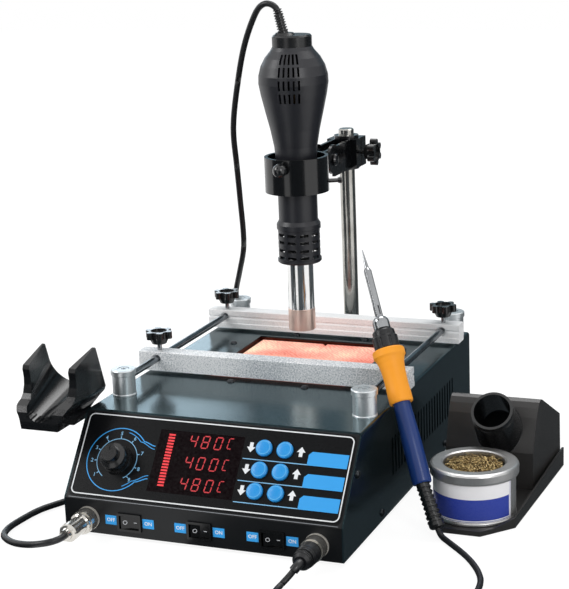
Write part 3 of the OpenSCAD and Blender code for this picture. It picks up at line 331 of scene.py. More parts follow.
def facing(at, towards):
    # right, up and back of something that faces a point: back leads away from it, and right is kept level
    back = np.array(at, float) - np.array(towards, float)
    back /= np.linalg.norm(back)
    right = np.cross((0, 0, 1), back)
    right /= np.linalg.norm(right)
    return right, np.cross(back, right), back


def setUp(thing, right, up, back, at):
    # the three directions and the place are the columns of the matrix
    matrix = np.eye(4)
    matrix[:3, :4] = np.stack([right, up, back, np.array(at)], 1)
    scene.collection.objects.link(thing)
    thing.matrix_world = matrix.T.tolist()


def placeCamera(v):
    # yaw and pitch give the way back from the part, then right and up are rolled about it
    yaw, pitch, roll = (math.radians(v[k]) for k in ("yaw", "pitch", "roll"))
    back = np.array([math.sin(yaw) * math.cos(pitch), -math.cos(yaw) * math.cos(pitch), math.sin(pitch)])
    right = np.cross(-back, (0, 0, 1))
    right /= np.linalg.norm(right)
    up = np.cross(right, -back)
    rolledRight = right * math.cos(roll) + up * math.sin(roll)
    rolledUp = up * math.cos(roll) - right * math.sin(roll)
    data = bpy.data.cameras.new("camera")
    data.lens, data.sensor_width = v["lens"], v["sensor"]
    data.clip_start, data.clip_end = v["clip"]
    scene.camera = bpy.data.objects.new("camera", data)
    setUp(scene.camera, rolledRight, rolledUp, back, v["at"])


def softBox(name, b):
    # rectangular lamp that faces the part
    data = bpy.data.lights.new(name, "AREA")
    data.shape, data.energy, data.color = "RECTANGLE", b["watts"], linear(b["colour"])[:3]
    data.size, data.size_y = b["size"]
    setUp(bpy.data.objects.new(name, data), *facing(b["at"], b["towards"]), b["at"])


placeCamera(view)
for name, b in lamps.items():
    softBox(name, b)


def whiteRays(tree):
    # 1 for the rays that look at the studio: the camera's, mirrored ones and ones through glass
    path = addNode(tree, "LightPath")
    direct = addNode(tree, "Math", {"operation": "MAXIMUM"},
                     {0: path.outputs["Is Camera Ray"], 1: path.outputs["Is Transmission Ray"]})
    return addNode(tree, "Math", {"operation": "MAXIMUM"}, {0: direct, 1: path.outputs["Is Glossy Ray"]})


studio = {"ambient": 0.42, "seen": 1.0, "lift": 0.78, "glow": 1.16, "half": 4, "floorZ": -0.0004, "rows": 9}


def lightWorld(w):
    # plain white all round: dim where it lights the part, full where a ray looks at it
    world = bpy.data.worlds.new("studio")
    scene.world = world
    world.use_nodes = True
    tree = world.node_tree
    tree.nodes.clear()
    sky = addNode(tree, "Background", {"Color": linear("#ffffff"), "Strength": w["ambient"]})
    bright = addNode(tree, "Background", {"Color": linear("#ffffff"), "Strength": w["seen"]})
    both = addNode(tree, "MixShader", links={0: whiteRays(tree), 1: sky, 2: bright})
    addNode(tree, "OutputWorld", links={"Surface": both})


def studioFloor(w):
    # white sweep: what is seen of it is lifted towards white, so only the shadow stays
    material, tree, shader, place = startMaterial("whiteSweep", {"Roughness": 0.6})
    mottle(tree, shader, place, "#f4f4f4", "#ffffff", 3.0, 0.6)
    lift = addNode(tree, "Math", {"operation": "MULTIPLY", 1: w["lift"]}, {0: whiteRays(tree)})
    white = addNode(tree, "Emission", {"Color": linear("#ffffff"), "Strength": w["glow"]})
    mix = addNode(tree, "MixShader", links={0: lift, 1: shader, 2: white})
    tree.links.new(mix.outputs[0], tree.nodes["Material Output"].inputs["Surface"])
    across = np.linspace(-w["half"], w["half"], w["rows"])
    x, y = np.meshgrid(across, across, indexing="ij")
    grid = np.stack([x, y, np.full_like(x, w["floorZ"])], -1)
    meshObject("floor", grid.reshape(-1, 3), gridFaces(w["rows"], w["rows"], False, False)[:, ::-1], material)


# dark cloths and mats that only reflections see: sectors are degrees round the part from the camera's side
cloths = {
    "centre": (0.0, 0.05), "sectors": ((-26, 28), (-96, -46), (78, 150)), "columns": 9, "near": 0.13, "far": 1.5,
    "top": 0.6, "skim": 0.0002, "bend": 0.05, "colour": "#4c5256",
}
mats = {
    "matBeside": {"from": (0.122, -0.26), "to": (0.36, 0.26), "z": 0.0003, "colour": "#474d51"},
    "matLeft": {"from": (-0.45, -0.3), "to": (-0.13, 0.22), "z": 0.0003, "colour": "#2b2f33"},
}
# boards that only reflections see, graded from foot to head
boards = {
    "boardOverPanel": {"at": (-0.68, -0.96, 1.42), "towards": (0, -0.15, 0.06), "size": (0.9, 0.8),
                       "low": "#050506", "high": "#050506"},
    "boardFarLeft": {"at": (-2.15, 2.2, 1.35), "towards": (-1.4, 0, 0.9), "size": (2.0, 1.7),
                     "low": "#e8f6fc", "high": "#5c6a70"},
    "boardFarRight": {"at": (0.2, 2.2, 1.35), "towards": (0, 0, 0.9), "size": (2.7, 1.7),
                      "low": "#7f98a4", "high": "#4c575b"},
}


def reflected(name, verts, faces, low, high):
    # self-lit cloth that neither shades nor lights anything and shows only in mirrored rays
    heights = np.asarray(verts)[:, 2]
    material, tree, shader, place = startMaterial(name, {"Roughness": 0.9, "Specular IOR Level": 0.0,
                                                         "Base Color": linear("#000000"), "Emission Strength": 1.0})
    height = addNode(tree, "SeparateXYZ", links={"Vector": place})
    grade = addNode(tree, "MapRange", {"From Min": float(heights.min()), "From Max": float(heights.max())},
                    {"Value": height.outputs["Z"]})
    tint = addNode(tree, "Mix", {"data_type": "RGBA", 6: linear(low), 7: linear(high)}, {0: grade})
    tree.links.new(tint.outputs[2], shader.inputs["Emission Color"])
    cloth = meshObject(name, verts, faces, material)
    cloth.visible_camera = cloth.visible_diffuse = cloth.visible_shadow = False


def hangCloths(c):
    # each sector runs out along the floor and up to its top, like a cloth swept up a wall
    centre = np.array(c["centre"])
    front = np.array(view["at"][:2]) - centre
    front /= np.linalg.norm(front)
    side = np.array([-front[1], front[0]])
    profile = np.array([[c["near"], c["skim"]], [c["far"] - c["bend"], c["skim"]], [c["far"], c["bend"]],
                        [c["far"], c["top"]]])
    columns, rows = c["columns"], len(profile)
    for number, (start, end) in enumerate(c["sectors"], 1):
        turn = np.radians(np.linspace(start, end, columns))[:, None]
        way = np.cos(turn) * front + np.sin(turn) * side
        flat = centre + way[:, None, :] * profile[None, :, :1]
        grid = np.concatenate([flat, np.broadcast_to(profile[:, 1:], (columns, rows, 1))], -1)
        faces = gridFaces(columns, rows, False, False)
        reflected("cloth_%d" % number, grid.reshape(-1, 3), faces, c["colour"], c["colour"])


def layMats(flats):
    # flat rectangles just above the floor
    for name, m in flats.items():
        (x0, y0), (x1, y1) = m["from"], m["to"]
        corners = [[x, y, m["z"]] for x, y in ((x0, y0), (x1, y0), (x1, y1), (x0, y1))]
        reflected(name, corners, [[0, 1, 2, 3]], m["colour"], m["colour"])


def hangBoards(flats):
    # the centre, with half the width and half the height to each side
    u, v = (k.reshape(-1, 1) for k in np.meshgrid([-0.5, 0.5], [-0.5, 0.5], indexing="ij"))
    for name, f in flats.items():
        right, up, _ = facing(f["at"], f["towards"])
        corners = np.array(f["at"]) + u * f["size"][0] * right + v * f["size"][1] * up
        reflected(name, corners, [[0, 2, 3, 1]], f["low"], f["high"])


lightWorld(studio)
hangCloths(cloths)
layMats(mats)
hangBoards(boards)
studioFloor(studio)
print("camera, lamps and floor set")


cordRubber = mouldedPlastic("rubberCord", "#131416", "#1d1e20", rough=0.38, grainMm=0.7)

gunCord = {
    "diameter": 0.0054, "sides": 16, "perSpan": 6,
    "upper": [[-11.66, 56.7, 396.5], [-12.36, 56.7, 399.3], [-14.6, 56.8, 402.4], [-18.4, 57.1, 404.6],
              [-22.8, 57.7, 405.2], [-27, 58.8, 404], [-32, 61, 400.5], [-40, 66, 390], [-52, 74, 368],
              [-64, 84, 336], [-77, 98, 291], [-82, 113, 253], [-87, 128, 221], [-96, 152, 169],
              [-108, 167, 140], [-118, 179, 119], [-124, 185, 101], [-124, 185, 98]],
    "lower": [[-124, 185, 98], [-124, 185, 95], [-126.5, 187, 75], [-128, 187, 45], [-128, 182, 24],
              [-129, 170, 9], [-129, 152, 3.1], [-130, 115, 2.8], [-131, 60, 2.8], [-132, 0, 2.8],
              [-134, -50, 2.8], [-141, -92, 2.8], [-153, -119, 2.8], [-163, -141, 2.8],
              [-167, -165, 2.8], [-167.5, -186, 2.8], [-163, -200, 3], [-154, -209.5, 4],
              [-142, -218, 6], [-130, -224, 8.6], [-119, -227.6, 11.2], [-110.5, -228.2, 13.2],
              [-105.9, -227.2, 14.2], [-102, -224.6, 14.9], [-99.6, -221, 15.3], [-98.5, -217, 15.5],
              [-98.5, -214, 15.5]],
    # where one stretch hands over to the next, as route points of the upper part
    "stretches": [("gun", "ring", 0, 9), ("ring", "arm", 9, 11), ("arm", "bush", 11, 13), ("bush", "housing", 13, 17)],
}


def cordPiece(name, grid, path, c, farEnd, lay, replaced=None, **plugs):
    # closed tube over the grid; its path, which leads away from its exit, is not used
    piece = meshObject(name, *closedTube(grid), cordRubber)
    if replaced:
        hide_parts(replaced)
    return piece


def layGunCord(c):
    # one tube for the whole upper route, cut where the stretches meet so that they meet without a step
    span = c["perSpan"]
    upper = smoothRoute(c["upper"], span) * mm
    grid = tubeGrid(upper, c["diameter"] / 2, c["sides"])
    for number, (first, second, a, b) in enumerate(c["stretches"], 1):
        part = slice(a * span, b * span + 1)
        path, replaced = upper[part], "gun_cord_upper" if number == 1 else None
        piece = cordPiece("gunCord_%d" % number, grid[part], path, c, "object", "hanging", replaced)
        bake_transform(piece)
    lower = smoothRoute(c["lower"], span) * mm
    grid = tubeGrid(lower, c["diameter"] / 2, c["sides"])
    piece = cordPiece("gunCord_5", grid, lower[::-1], c, "tool", "loose", "gun_cord_lower",
                      with_pieces=[nodes["cord_plugs"]])
    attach(piece, "housing")
    print("gun cord %.2f m" % (lengthOf(upper) + lengthOf(lower)))


ironCord = {
    "diameter": 0.0048, "sides": 12, "perSpan": 5,
    "lead": [[171.1, -98.2, 8], [171.5, -98.55, 7.25], [173, -99.8, 5.1], [174.9, -101.5, 3.5],
             [177.1, -103.4, 2.6], [179, -105.1, 2.4], [185, -111.5, 2.4], [194, -121, 2.4], [204, -132.5, 2.4],
             [213, -145, 2.4], [221, -159, 2.4], [226.5, -173, 2.4], [229, -190, 2.4], [228, -208, 2.4],
             [223, -226, 2.4], [214, -241, 2.4], [202, -252, 2.4], [190, -258, 2.6]],
    "tail": [[95.9, -216.8, 11.8], [94.8, -217.9, 10.2], [92.6, -220.6, 7.4], [90, -225, 4.4],
             [88.6, -231, 2.8], [88.5, -238, 2.4], [89.5, -247, 2.4], [93, -257, 2.4], [99, -267, 2.4],
             [108, -276, 2.4], [119, -284, 2.4], [131, -291.5, 2.4], [141, -297.5, 2.4]],
    "bendsTo": 50,  # the lead's point up to which it follows the iron
}
# the coil's wider turns lie under and its narrower ones inside: where it narrows, climbs and comes down, in turns
ironCoil = {
    "at": (165, -278), "turns": 5, "perTurn": 28, "start": 238, "radii": (29.4, 24.6), "narrow": (2.7, 0.4),
    "top": 2.9, "climb": (2.6, 4.55), "descend": (3.1, 2, 11.8, 4.7), "rest": 2.6, "highest": 9.6,
}


def coilRoute(k):
    # circle whose radius eases from the wide to the narrow one while its height climbs and comes down again
    turn = np.linspace(0, k["turns"], k["turns"] * k["perTurn"] + 1)
    step = np.clip((turn - k["narrow"][0]) / k["narrow"][1], 0, 1)
    wide, narrow = k["radii"]
    radius = wide + (narrow - wide) * (3 * step ** 2 - 2 * step ** 3)
    reach, pitch = k["climb"]
    begin, span, height, fall = k["descend"]
    rise = np.where(turn < k["top"], np.minimum(turn, reach) * pitch, height - np.clip(turn - begin, 0, span) * fall)
    z = k["rest"] + np.clip(rise, 0, k["highest"])
    angle = math.radians(k["start"]) + 2 * np.pi * turn
    return np.stack([k["at"][0] + radius * np.cos(angle), k["at"][1] + radius * np.sin(angle), z], 1)


def layIronCord(c, k):
    # the lead runs from the iron out of the view, and the tail from the plug into the coil
    lead = smoothRoute(c["lead"], c["perSpan"]) * mm
    grid = tubeGrid(lead, c["diameter"] / 2, c["sides"])
    piece = cordPiece("ironCord_1", grid, lead, c, "object", "loose", "iron_cord")
    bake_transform(piece)
    coil = coilRoute(k)
    path = np.vstack([smoothRoute([*c["tail"], coil[1].tolist()], c["perSpan"])[:-1], coil[1:]]) * mm
    grid = tubeGrid(path, c["diameter"] / 2, c["sides"])
    piece = cordPiece("ironCord_2", grid, path, c, "tool", "coiled", "iron_coil", with_pieces=[nodes["cord_plugs"]])
    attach(piece, "housing")
    print("iron cord %.2f m" % (lengthOf(lead) + lengthOf(path)))


layGunCord(gunCord)
layIronCord(ironCord, ironCoil)
print("cords laid")


def along(direction, limit, origin):
    # 1 where a point lies further than the limit along the direction from the origin
    def mask(tree, place):
        away = addNode(tree, "VectorMath", {"operation": "SUBTRACT", 1: origin}, {0: place})
        reach = addNode(tree, "VectorMath", {"operation": "DOT_PRODUCT", 1: direction}, {0: away})
        return addNode(tree, "Math", {"operation": "GREATER_THAN", 1: limit}, {0: reach.outputs["Value"]})
    return mask


ironEnd, ironTip = np.array([168, -98.5, 7.8]) * mm, np.array([80.3, -4, 207.5]) * mm
ironWay = (ironTip - ironEnd) / np.linalg.norm(ironTip - ironEnd)
plugBoot = {"right": 0.0, "front": -0.1879}


def bootMask(tree, place):
    # the iron's plug is rubber in front of its nut; the gun's plug is metal all along
    part = addNode(tree, "SeparateXYZ", links={"Vector": place})
    right = addNode(tree, "Math", {"operation": "GREATER_THAN", 1: plugBoot["right"]}, {0: part.outputs["X"]})
    front = addNode(tree, "Math", {"operation": "LESS_THAN", 1: plugBoot["front"]}, {0: part.outputs["Y"]})
    return addNode(tree, "Math", {"operation": "MULTIPLY"}, {0: right, 1: front})


funnel = {"at": (189.0, -1.0, 76.0), "tilt": 46.0, "reach": 20.6, "above": 12.0}


def funnelMask(tree, place):
    # 1 near the funnel's axis: how far a point lies from the line through the mouth, square to it
    a = math.radians(funnel["tilt"])
    axis, mouth = (0.0, -math.cos(a), math.sin(a)), tuple(v * mm for v in funnel["at"])
    away = addNode(tree, "VectorMath", {"operation": "SUBTRACT", 1: mouth}, {0: place})
    across = addNode(tree, "VectorMath", {"operation": "CROSS_PRODUCT", 1: axis}, {0: away})
    distance = addNode(tree, "VectorMath", {"operation": "LENGTH"}, {0: across})
    near = addNode(tree, "Math", {"operation": "LESS_THAN", 1: funnel["reach"] * mm}, {0: distance.outputs["Value"]})
    part = addNode(tree, "SeparateXYZ", links={"Vector": place})
    above = addNode(tree, "Math", {"operation": "GREATER_THAN", 1: funnel["above"] * mm}, {0: part.outputs["Z"]})
    return addNode(tree, "Math", {"operation": "MULTIPLY"}, {0: near, 1: above})


# the two finishes of a node that carries both
nickel = {"sockets": {"Metallic": 0.9}, "dark": "#a8a49c", "pale": "#f6f3ed", "grainMm": 0.8, "rough": 0.14,
          "bump": 0.000006}
blackRubber = {"sockets": {"IOR": 1.5}, "dark": "#0e0f11", "pale": "#16171a", "grainMm": 0.5, "rough": 0.3}
blackNylon = {"sockets": {"IOR": 1.5, "Coat Weight": 0.5, "Coat Roughness": 0.12}, "dark": "#090a0b",
              "pale": "#101113", "grainMm": 0.5, "rough": 0.26}
standCoat = {"sockets": {"IOR": 1.5, "Specular IOR Level": 0.6}, "dark": "#1f1f1f", "pale": "#343231",
             "grainMm": 0.8, "rough": 0.38, "bump": 0.0001}
platedSteel = {"sockets": {"Metallic": 1.0}, "dark": "#7b7d80", "pale": "#c2c4c6", "grainMm": 0.8, "rough": 0.15,
               "bump": 0.000004}
# the star knobs' nylon begins at this height, above their studs, and the iron's collar ends this far along it
nylonFrom, collarTo = 0.1169, 0.16695

finishes = {
    "coverPaint": powderCoat("semiGlossPowderCoat", "#0c1214", "#12191c", rough=0.2, mirror=1.0, bump=0.000012,
                             ior=1.8, tint="#a2cfda"),
    "panelPaint": powderCoat("powderCoatPanel", "#0e1012", "#15171a", rough=0.34, mirror=0.3),
    "armPaint": powderCoat("glossEnamel", "#07080a", "#0d0e10", rough=0.16, grainMm=0.7, mirror=0.6, bump=0.00001),
    "standPaint": zoned("powderCoatStandAndFunnel", (standCoat, blackNylon), funnelMask),
    "film": mouldedPlastic("polyesterFilm", "#060709", "#0a0b0e", rough=0.3, grainMm=0.4, mirror=0.2),
    "window": mouldedPlastic("smokedAcrylic", "#0a0305", "#0f0508", rough=0.18, grainMm=2.0, mirror=0.25),
    "knob": mouldedPlastic("glassFilledNylon", "#090a0b", "#101113", rough=0.26, grainMm=0.5, mirror=0.5, coat=0.5),
    "gloss": mouldedPlastic("glossAbs", "#08090a", "#0f1011", rough=0.2, grainMm=1.2, mirror=0.5),
    "gunShell": mouldedPlastic("texturedAbs", "#101117", "#1a1b22", rough=0.4, grainMm=0.5, mirror=0.6),
    "keyBlue": mouldedPlastic("blueAbs", "#1c90dc", "#2c9ee8", rough=0.3, grainMm=0.6, mirror=0.4, coat=0.3),
    "barAlloy": castMetal("blastedAluminium", "#9ba4ac", "#fdfeff", metallic=0.15, grainMm=1.3, bump=0.00022),
    "rearAlloy": castMetal("brushedAluminium", "#dde0e2", "#ffffff", metallic=0.1, grainMm=0.6),
    "rodSteel": drawnMetal("groundRod", "#666b70", "#a3a8ac", (False, True, False), rough=0.2),
    "poleSteel": drawnMetal("groundPole", "#9c9a95", "#cfcdc8", (False, False, True), rough=0.17),
    "post": castMetal("satinAluminium", "#b9bfc2", "#e4e8ea", rough=0.34, grainMm=0.6, metallic=0.85),
    # the sleeve's two pinks on the tube are a painted reflection of the heater's glow
    "hotTube": turnedMetal("stainlessTube", "#dededd", "#f2f2f1", rough=0.13, groove=0.02,
                           glowSleeve={"below": 0.1383, "colours": ("#f6d2c4", "#ffe8da"), "rough": 0.34}),
    "tinPlate": castMetal("satinTinplate", "#a6a7a8", "#d2d1d0", rough=0.32, grainMm=0.5, metallic=0.85),
    "screw": turnedMetal("blackenedZinc", "#2a2c2e", "#4a4d50", rough=0.3),
    "socket": castMetal("nickelPlate", "#b9b4aa", "#f4f0e8", rough=0.24, grainMm=0.7, metallic=0.5, bump=0.00003),
    "traySteel": drawnMetal("darkenedSteel", "#4a2a22", "#7a3e30", (True, False, False), rough=0.4),
    "board": mouldedPlastic("boardLacquer", "#15402a", "#1f5a38", rough=0.35, grainMm=3.0),
    # the wool's dome under the curls is dark brown: painted shade between the curls
    "paintedWoolShade": mouldedPlastic("paintedShadeBrass", "#1c1206", "#43300f", rough=0.5, grainMm=1.6),
    "mica": mouldedPlastic("micaSleeve", "#7a6038", "#a58652", rough=0.6, grainMm=1.5),
    "footRubber": mouldedPlastic("footRubber", "#101010", "#181818", rough=0.7, grainMm=0.6),
    "handleBlue": mouldedPlastic("blueNylon", "#0e2b66", "#17397c", rough=0.32, grainMm=0.6, coat=0.15),
    "gripOrange": mouldedPlastic("siliconeGrip", "#ff9c1c", "#ffac30", rough=0.5, grainMm=0.5),
    "tile": glowingTile("glazedCeramic"),
    "studKnob": zoned("nylonKnobOnStud", (platedSteel, blackNylon), along((0, 0, 1), nylonFrom, (0, 0, 0))),
    "boot": mouldedPlastic("mouldedBoot", "#0c0d0e", "#141517", rough=0.28, grainMm=0.5, mirror=0.6),
    "plugs": zoned("nickelAndRubber", (nickel, blackRubber), bootMask),
    "ironHead": zoned("collarAndTip", (blackRubber, platedSteel), along(tuple(ironWay), collarTo, tuple(ironEnd))),
}
finishOf = {
    "coverPaint": ["top_cover"], "panelPaint": ["front_panel", "base_tray", "rear_panel"],
    "armPaint": ["pole_bracket", "swing_arm", "holding_ring", "gun_cradle"], "standPaint": ["iron_stand"],
    "film": ["panel_overlay"], "window": ["display_window"],
    "knob": ["air_knob", "pole_bush", "clamp_knob", "ring_screws"], "boot": ["iron_relief", "gun_end_cap"],
    "studKnob": ["knob_front_left", "knob_front_right", "knob_rear_left", "knob_rear_right"],
    "gloss": ["switch_frames", "rocker_air", "rocker_preheat", "rocker_iron", "mains_inlet"],
    "gunShell": ["gun_shell_front", "gun_shell_back", "gun_collar", "gun_fan"],
    "keyBlue": ["button_air_down", "button_air_up", "button_plate_down", "button_plate_up", "button_iron_down",
                "button_iron_up"],
    "barAlloy": ["front_bar"], "rearAlloy": ["rear_bar"], "rodSteel": ["guide_rods"], "poleSteel": ["pole"],
    "post": ["bar_posts"],
    "hotTube": ["gun_tube"], "tinPlate": ["tin_can", "tin_ring"], "screw": ["cover_screws"],
    "socket": ["panel_sockets"], "traySteel": ["heater_tray"], "board": ["control_boards"], "paintedWoolShade": ["brass_wool"],
    "mica": ["gun_heater"], "footRubber": ["rubber_feet"], "handleBlue": ["iron_handle"],
    "gripOrange": ["iron_grip"], "tile": ["heater_tiles"], "plugs": ["cord_plugs"], "ironHead": ["iron_tip"],
}
for finish, names in finishOf.items():
    for name in names:
        slots = nodes[name].data.materials
        slots.clear()
        slots.append(finishes[finish])
print("CAD nodes finished")


slope = {"y": -174.0, "z": 31.0, "angle": math.atan2(60.5, 48.5), "film": 0.4, "ink": 0.06, "sunk": 0.02}


def onSlope(points):
    # panel place (across, up the slope, out of it) in mm to the row frame in metres
    p = np.asarray(points, float)
    c, s = math.cos(slope["angle"]), math.sin(slope["angle"])
    return np.stack([p[:, 0], slope["y"] + p[:, 1] * c - p[:, 2] * s, slope["z"] + p[:, 1] * s + p[:, 2] * c], 1) * mm


def onFront(points):
    # the upright strip below the slope: across, up, out towards the user
    p = np.asarray(points, float)
    return np.stack([p[:, 0], slope["y"] - p[:, 2], p[:, 1]], 1) * mm


def plate(outline, low, high):
    # flat outline given a thickness
    o = np.asarray(outline, float)
    n = len(o)
    verts = np.vstack([np.c_[o, np.full(n, low)], np.c_[o, np.full(n, high)]])
    k = np.arange(n)
    sides = np.stack([k, (k + 1) % n, n + (k + 1) % n, n + k], -1)
    return verts, [list(range(n))[::-1], list(range(n, 2 * n)), *sides.tolist()]


def bar(grid):
    # four-sided bar along the grid's rows, with a face across either end
    n = len(grid)
    ends = [[0, 1, 2, 3], [4 * n - 1, 4 * n - 2, 4 * n - 3, 4 * n - 4]]
    return grid.reshape(-1, 3), gridFaces(n, 4, False, True)[:, ::-1].tolist() + ends


def stroke(line, width, low, high, closed=False):
    # a line drawn with a flat pen: half the width to each side, square to its direction
    p = np.asarray(line, float)
    way = (np.roll(p, -1, 0) - np.roll(p, 1, 0)) if closed else np.gradient(p, axis=0)
    way /= np.linalg.norm(way, axis=1, keepdims=True)
    side = np.stack([-way[:, 1], way[:, 0]], 1) * width / 2
    n = len(p)
    grid = np.stack([np.c_[p - side, np.full(n, low)], np.c_[p + side, np.full(n, low)],
                     np.c_[p + side, np.full(n, high)], np.c_[p - side, np.full(n, high)]], 1)
    return (grid.reshape(-1, 3), gridFaces(n, 4, True, True)[:, ::-1].tolist()) if closed else bar(grid)


def arc(centre, radius, start, end, count):
    # points on a circle, from one angle to the other in degrees
    turn = np.radians(np.linspace(start, end, count))
    return np.stack([centre[0] + radius * np.cos(turn), centre[1] + radius * np.sin(turn)], 1)


def roundedFrame(x0, y0, x1, y1, r):
    # a quarter circle of eight points at each corner
    corners = [(x1 - r, y1 - r, 0), (x0 + r, y1 - r, 90), (x0 + r, y0 + r, 180), (x1 - r, y0 + r, 270)]
    return np.vstack([arc((x, y), r, a, a + 90, 8) for x, y, a in corners])


def letters(text, size, at, low, high):
    # plain figures as a solid of the ink's thickness
    curve = bpy.data.curves.new("figures", "FONT")
    curve.body, curve.size, curve.align_x, curve.align_y = text, size, "CENTER", "CENTER"
    curve.extrude, curve.offset, curve.resolution_u = (high - low) / 2, size * 0.012, 3
    holder = bpy.data.objects.new("figures", curve)
    scene.collection.objects.link(holder)
    mesh = bpy.data.meshes.new_from_object(holder.evaluated_get(bpy.context.evaluated_depsgraph_get()))
    verts = np.empty(len(mesh.vertices) * 3)
    mesh.vertices.foreach_get("co", verts)
    verts = verts.reshape(-1, 3)
    faces = [list(p.vertices) for p in mesh.polygons]
    bpy.data.objects.remove(holder)
    bpy.data.meshes.remove(mesh)
    return verts + (at[0], at[1], (low + high) / 2), faces


def inkPiece(name, parts, place, material, body="housing"):
    # flat-shaded print, and painted highlights drawn the same way, laid on its surface by the place function
    verts, faces = joined(parts)
    ridingPiece(name, place(verts), faces, material, body, smooth=False)


panelInkAndHighlights = {
    "white": "#eceff1", "blue": "#2ba3ef", "rail": "#86c4ee", "lipHighlightGrey": "#85898e", "keyRimHighlight": "#5cb8ee",
    # the grey ink and the lip's line are a painted highlight along the lip's fold
    "border": (-115.2, 4.6, 115.2, 73.0, 4.5), "borderLine": 0.95, "lip": ((-116, 1.0), (0, 1.0), (116, 1.0)),
    "dial": (-81.5, 35.8), "dialRadius": 26.6, "tickRadius": 17.6, "figureRadius": 22.0, "figureSize": 4.4,
    "scale": (238, -58), "scaleLine": 0.55, "tick": (-0.3, 2.2),
    "figures": {1: 221, 2: 187, 3: 158, 4: 128, 5: 93, 6: 58, 7: 18, 8: -17, 9: -47},
    # the dial's ring opens to the display: its two angles, its ends' x and two heights, and the inner line's gap
    "opening": (40, 320), "display": (-50.5, 50.0, 22.4), "inside": 2.6, "pens": (0.75, 0.594, 0.6),
    "rows": (57.2, 39.0, 21.5), "keys": (42.9, 60.5), "arrows": (31.6, 73.9), "below": 9.8, "railAt": (26.5, 54, 81.5),
    "arrow": ((-1.5, 4.0), (1.5, 4.0), (1.5, 0.2), (3.6, 0.2), (0, -4.2), (-3.6, 0.2), (-1.5, 0.2)),
    "tab": ((80.6, -0.4), (113.6, -0.4), (113.6, 10.9), (83.4, 10.9), (80.6, 8.2)),
    "lipLine": 0.5, "railLine": 0.7,
}
# the pale ring on every key is a painted highlight of its rim
keyHighlightRing = {"radius": 5.35, "line": 0.55, "low": 2.6, "high": 3.12}
rockersAt = {"switch_air": -61.7, "switch_preheat": -0.3, "switch_iron": 61.6}
switchTab = {"out": 16.6, "half": 5, "foot": 12.0, "head": 19.8, "thick": 0.06, "wordSize": 4.2, "wordTo": 0.1}


def openRing(p, gap):
    # the ring's points, and lines that ease from its two ends to the display; an inner ring stops a little earlier
    start, end = p["opening"]
    ring = arc(p["dial"], p["dialRadius"] - gap, start + gap * 1.5, end - gap * 1.5, 90)
    x, head, foot = p["display"]
    sweep = np.linspace(0, 1, 14)[:, None]
    ease = np.c_[sweep, 3 * sweep ** 2 - 2 * sweep ** 3]
    upTail = ring[0] + (np.array([x, head - gap]) - ring[0]) * ease
    downTail = ring[-1] + (np.array([x, foot + gap]) - ring[-1]) * ease
    return upTail[::-1], ring, downTail


def printPanel(p):
    # frame and arrows in white, ring and tabs in blue, scale and rails in pale blue, and a painted highlight along the
    # lip's fold as a grey line
    low, high = slope["film"] - slope["sunk"], slope["film"] + slope["ink"]
    inks = {k: printedInk("ink_" + k, p[k]) for k in ("white", "blue", "rail", "lipHighlightGrey", "keyRimHighlight")}
    centre = np.array(p["dial"])
    whites = [stroke(roundedFrame(*p["border"]), p["borderLine"], low, high, True)]
    rails = [stroke(arc(centre, p["tickRadius"], *p["scale"], 70), p["scaleLine"], low, high)]
    for number, angle in p["figures"].items():
        way = np.array([math.cos(math.radians(angle)), math.sin(math.radians(angle))])
        spoke = [centre + way * (p["tickRadius"] + d) for d in p["tick"]]
        rails.append(stroke(spoke, p["railLine"], low, high))
        rails.append(letters(str(number), p["figureSize"], centre + way * p["figureRadius"], low, high))
    upTail, ring, downTail = openRing(p, 0.0)
    blues = [stroke(np.vstack([upTail, ring[1:-1], downTail]), p["pens"][0], low, high)]
    # the inner line keeps only a few steps of its ring at either end
    upTail, ring, downTail = openRing(p, p["inside"])
    blues.append(stroke(np.vstack([upTail, ring[1:12]]), p["pens"][1], low, high))
    blues.append(stroke(np.vstack([ring[-8:-1], downTail]), p["pens"][2], low, high))
    for row in p["rows"]:
        downAt, upAt = p["arrows"]
        whites.append(plate(np.array(p["arrow"])[::-1] + (downAt, row), low, high))
        whites.append(plate(np.array(p["arrow"]) * (1, -1) + (upAt, row), low, high))
        rails.append(stroke([[x, row - p["below"]] for x in p["railAt"]], p["railLine"], low, high))
        blues.append(plate(np.array(p["tab"]) + (0, row - p["below"]), low, high))
    inkPiece("printWhite", whites, onSlope, inks["white"])
    inkPiece("printBlue", blues, onSlope, inks["blue"])
    inkPiece("printRails", rails, onSlope, inks["rail"])
    # a painted highlight along the fold at the foot of the slope, drawn as a grey line
    inkPiece("paintedLipHighlight", [stroke(p["lip"], p["lipLine"], low, high)], onSlope, inks["lipHighlightGrey"])
    # every key carries a paler ring round its dished face: a painted highlight of its rim
    for name, row in zip(("air", "plate", "iron"), p["rows"]):
        for way, x in zip(("down", "up"), p["keys"]):
            circle = arc((x, row), keyHighlightRing["radius"], 0, 360, 41)[:-1]
            ring = stroke(circle, keyHighlightRing["line"], keyHighlightRing["low"], keyHighlightRing["high"], True)
            inkPiece("keyRing_%s_%s" % (name, way), [ring], onSlope, inks["keyRimHighlight"],
                     body="key_%s_%s" % (name, way))
    return inks


def printSwitches(t, blue, white):
    # a tab to each side of every rocker, with the word for that side on it
    tabs, words = [], []
    for x in rockersAt.values():
        for side, word in ((-1, "OFF"), (1, "ON")):
            at = x + side * t["out"]
            left, right = at - t["half"], at + t["half"]
            tabs.append(plate([(left, t["foot"]), (right, t["foot"]), (right, t["head"]), (left, t["head"])],
                              0.0, t["thick"]))
            middle = (at, (t["foot"] + t["head"]) / 2)
            words.append(letters(word, t["wordSize"], middle, t["thick"] - 0.01, t["wordTo"]))
    inkPiece("switchTabs", tabs, onFront, blue)
    inkPiece("switchWords", words, onFront, white)


inks = printPanel(panelInkAndHighlights)
printSwitches(switchTab, inks["blue"], inks["white"])

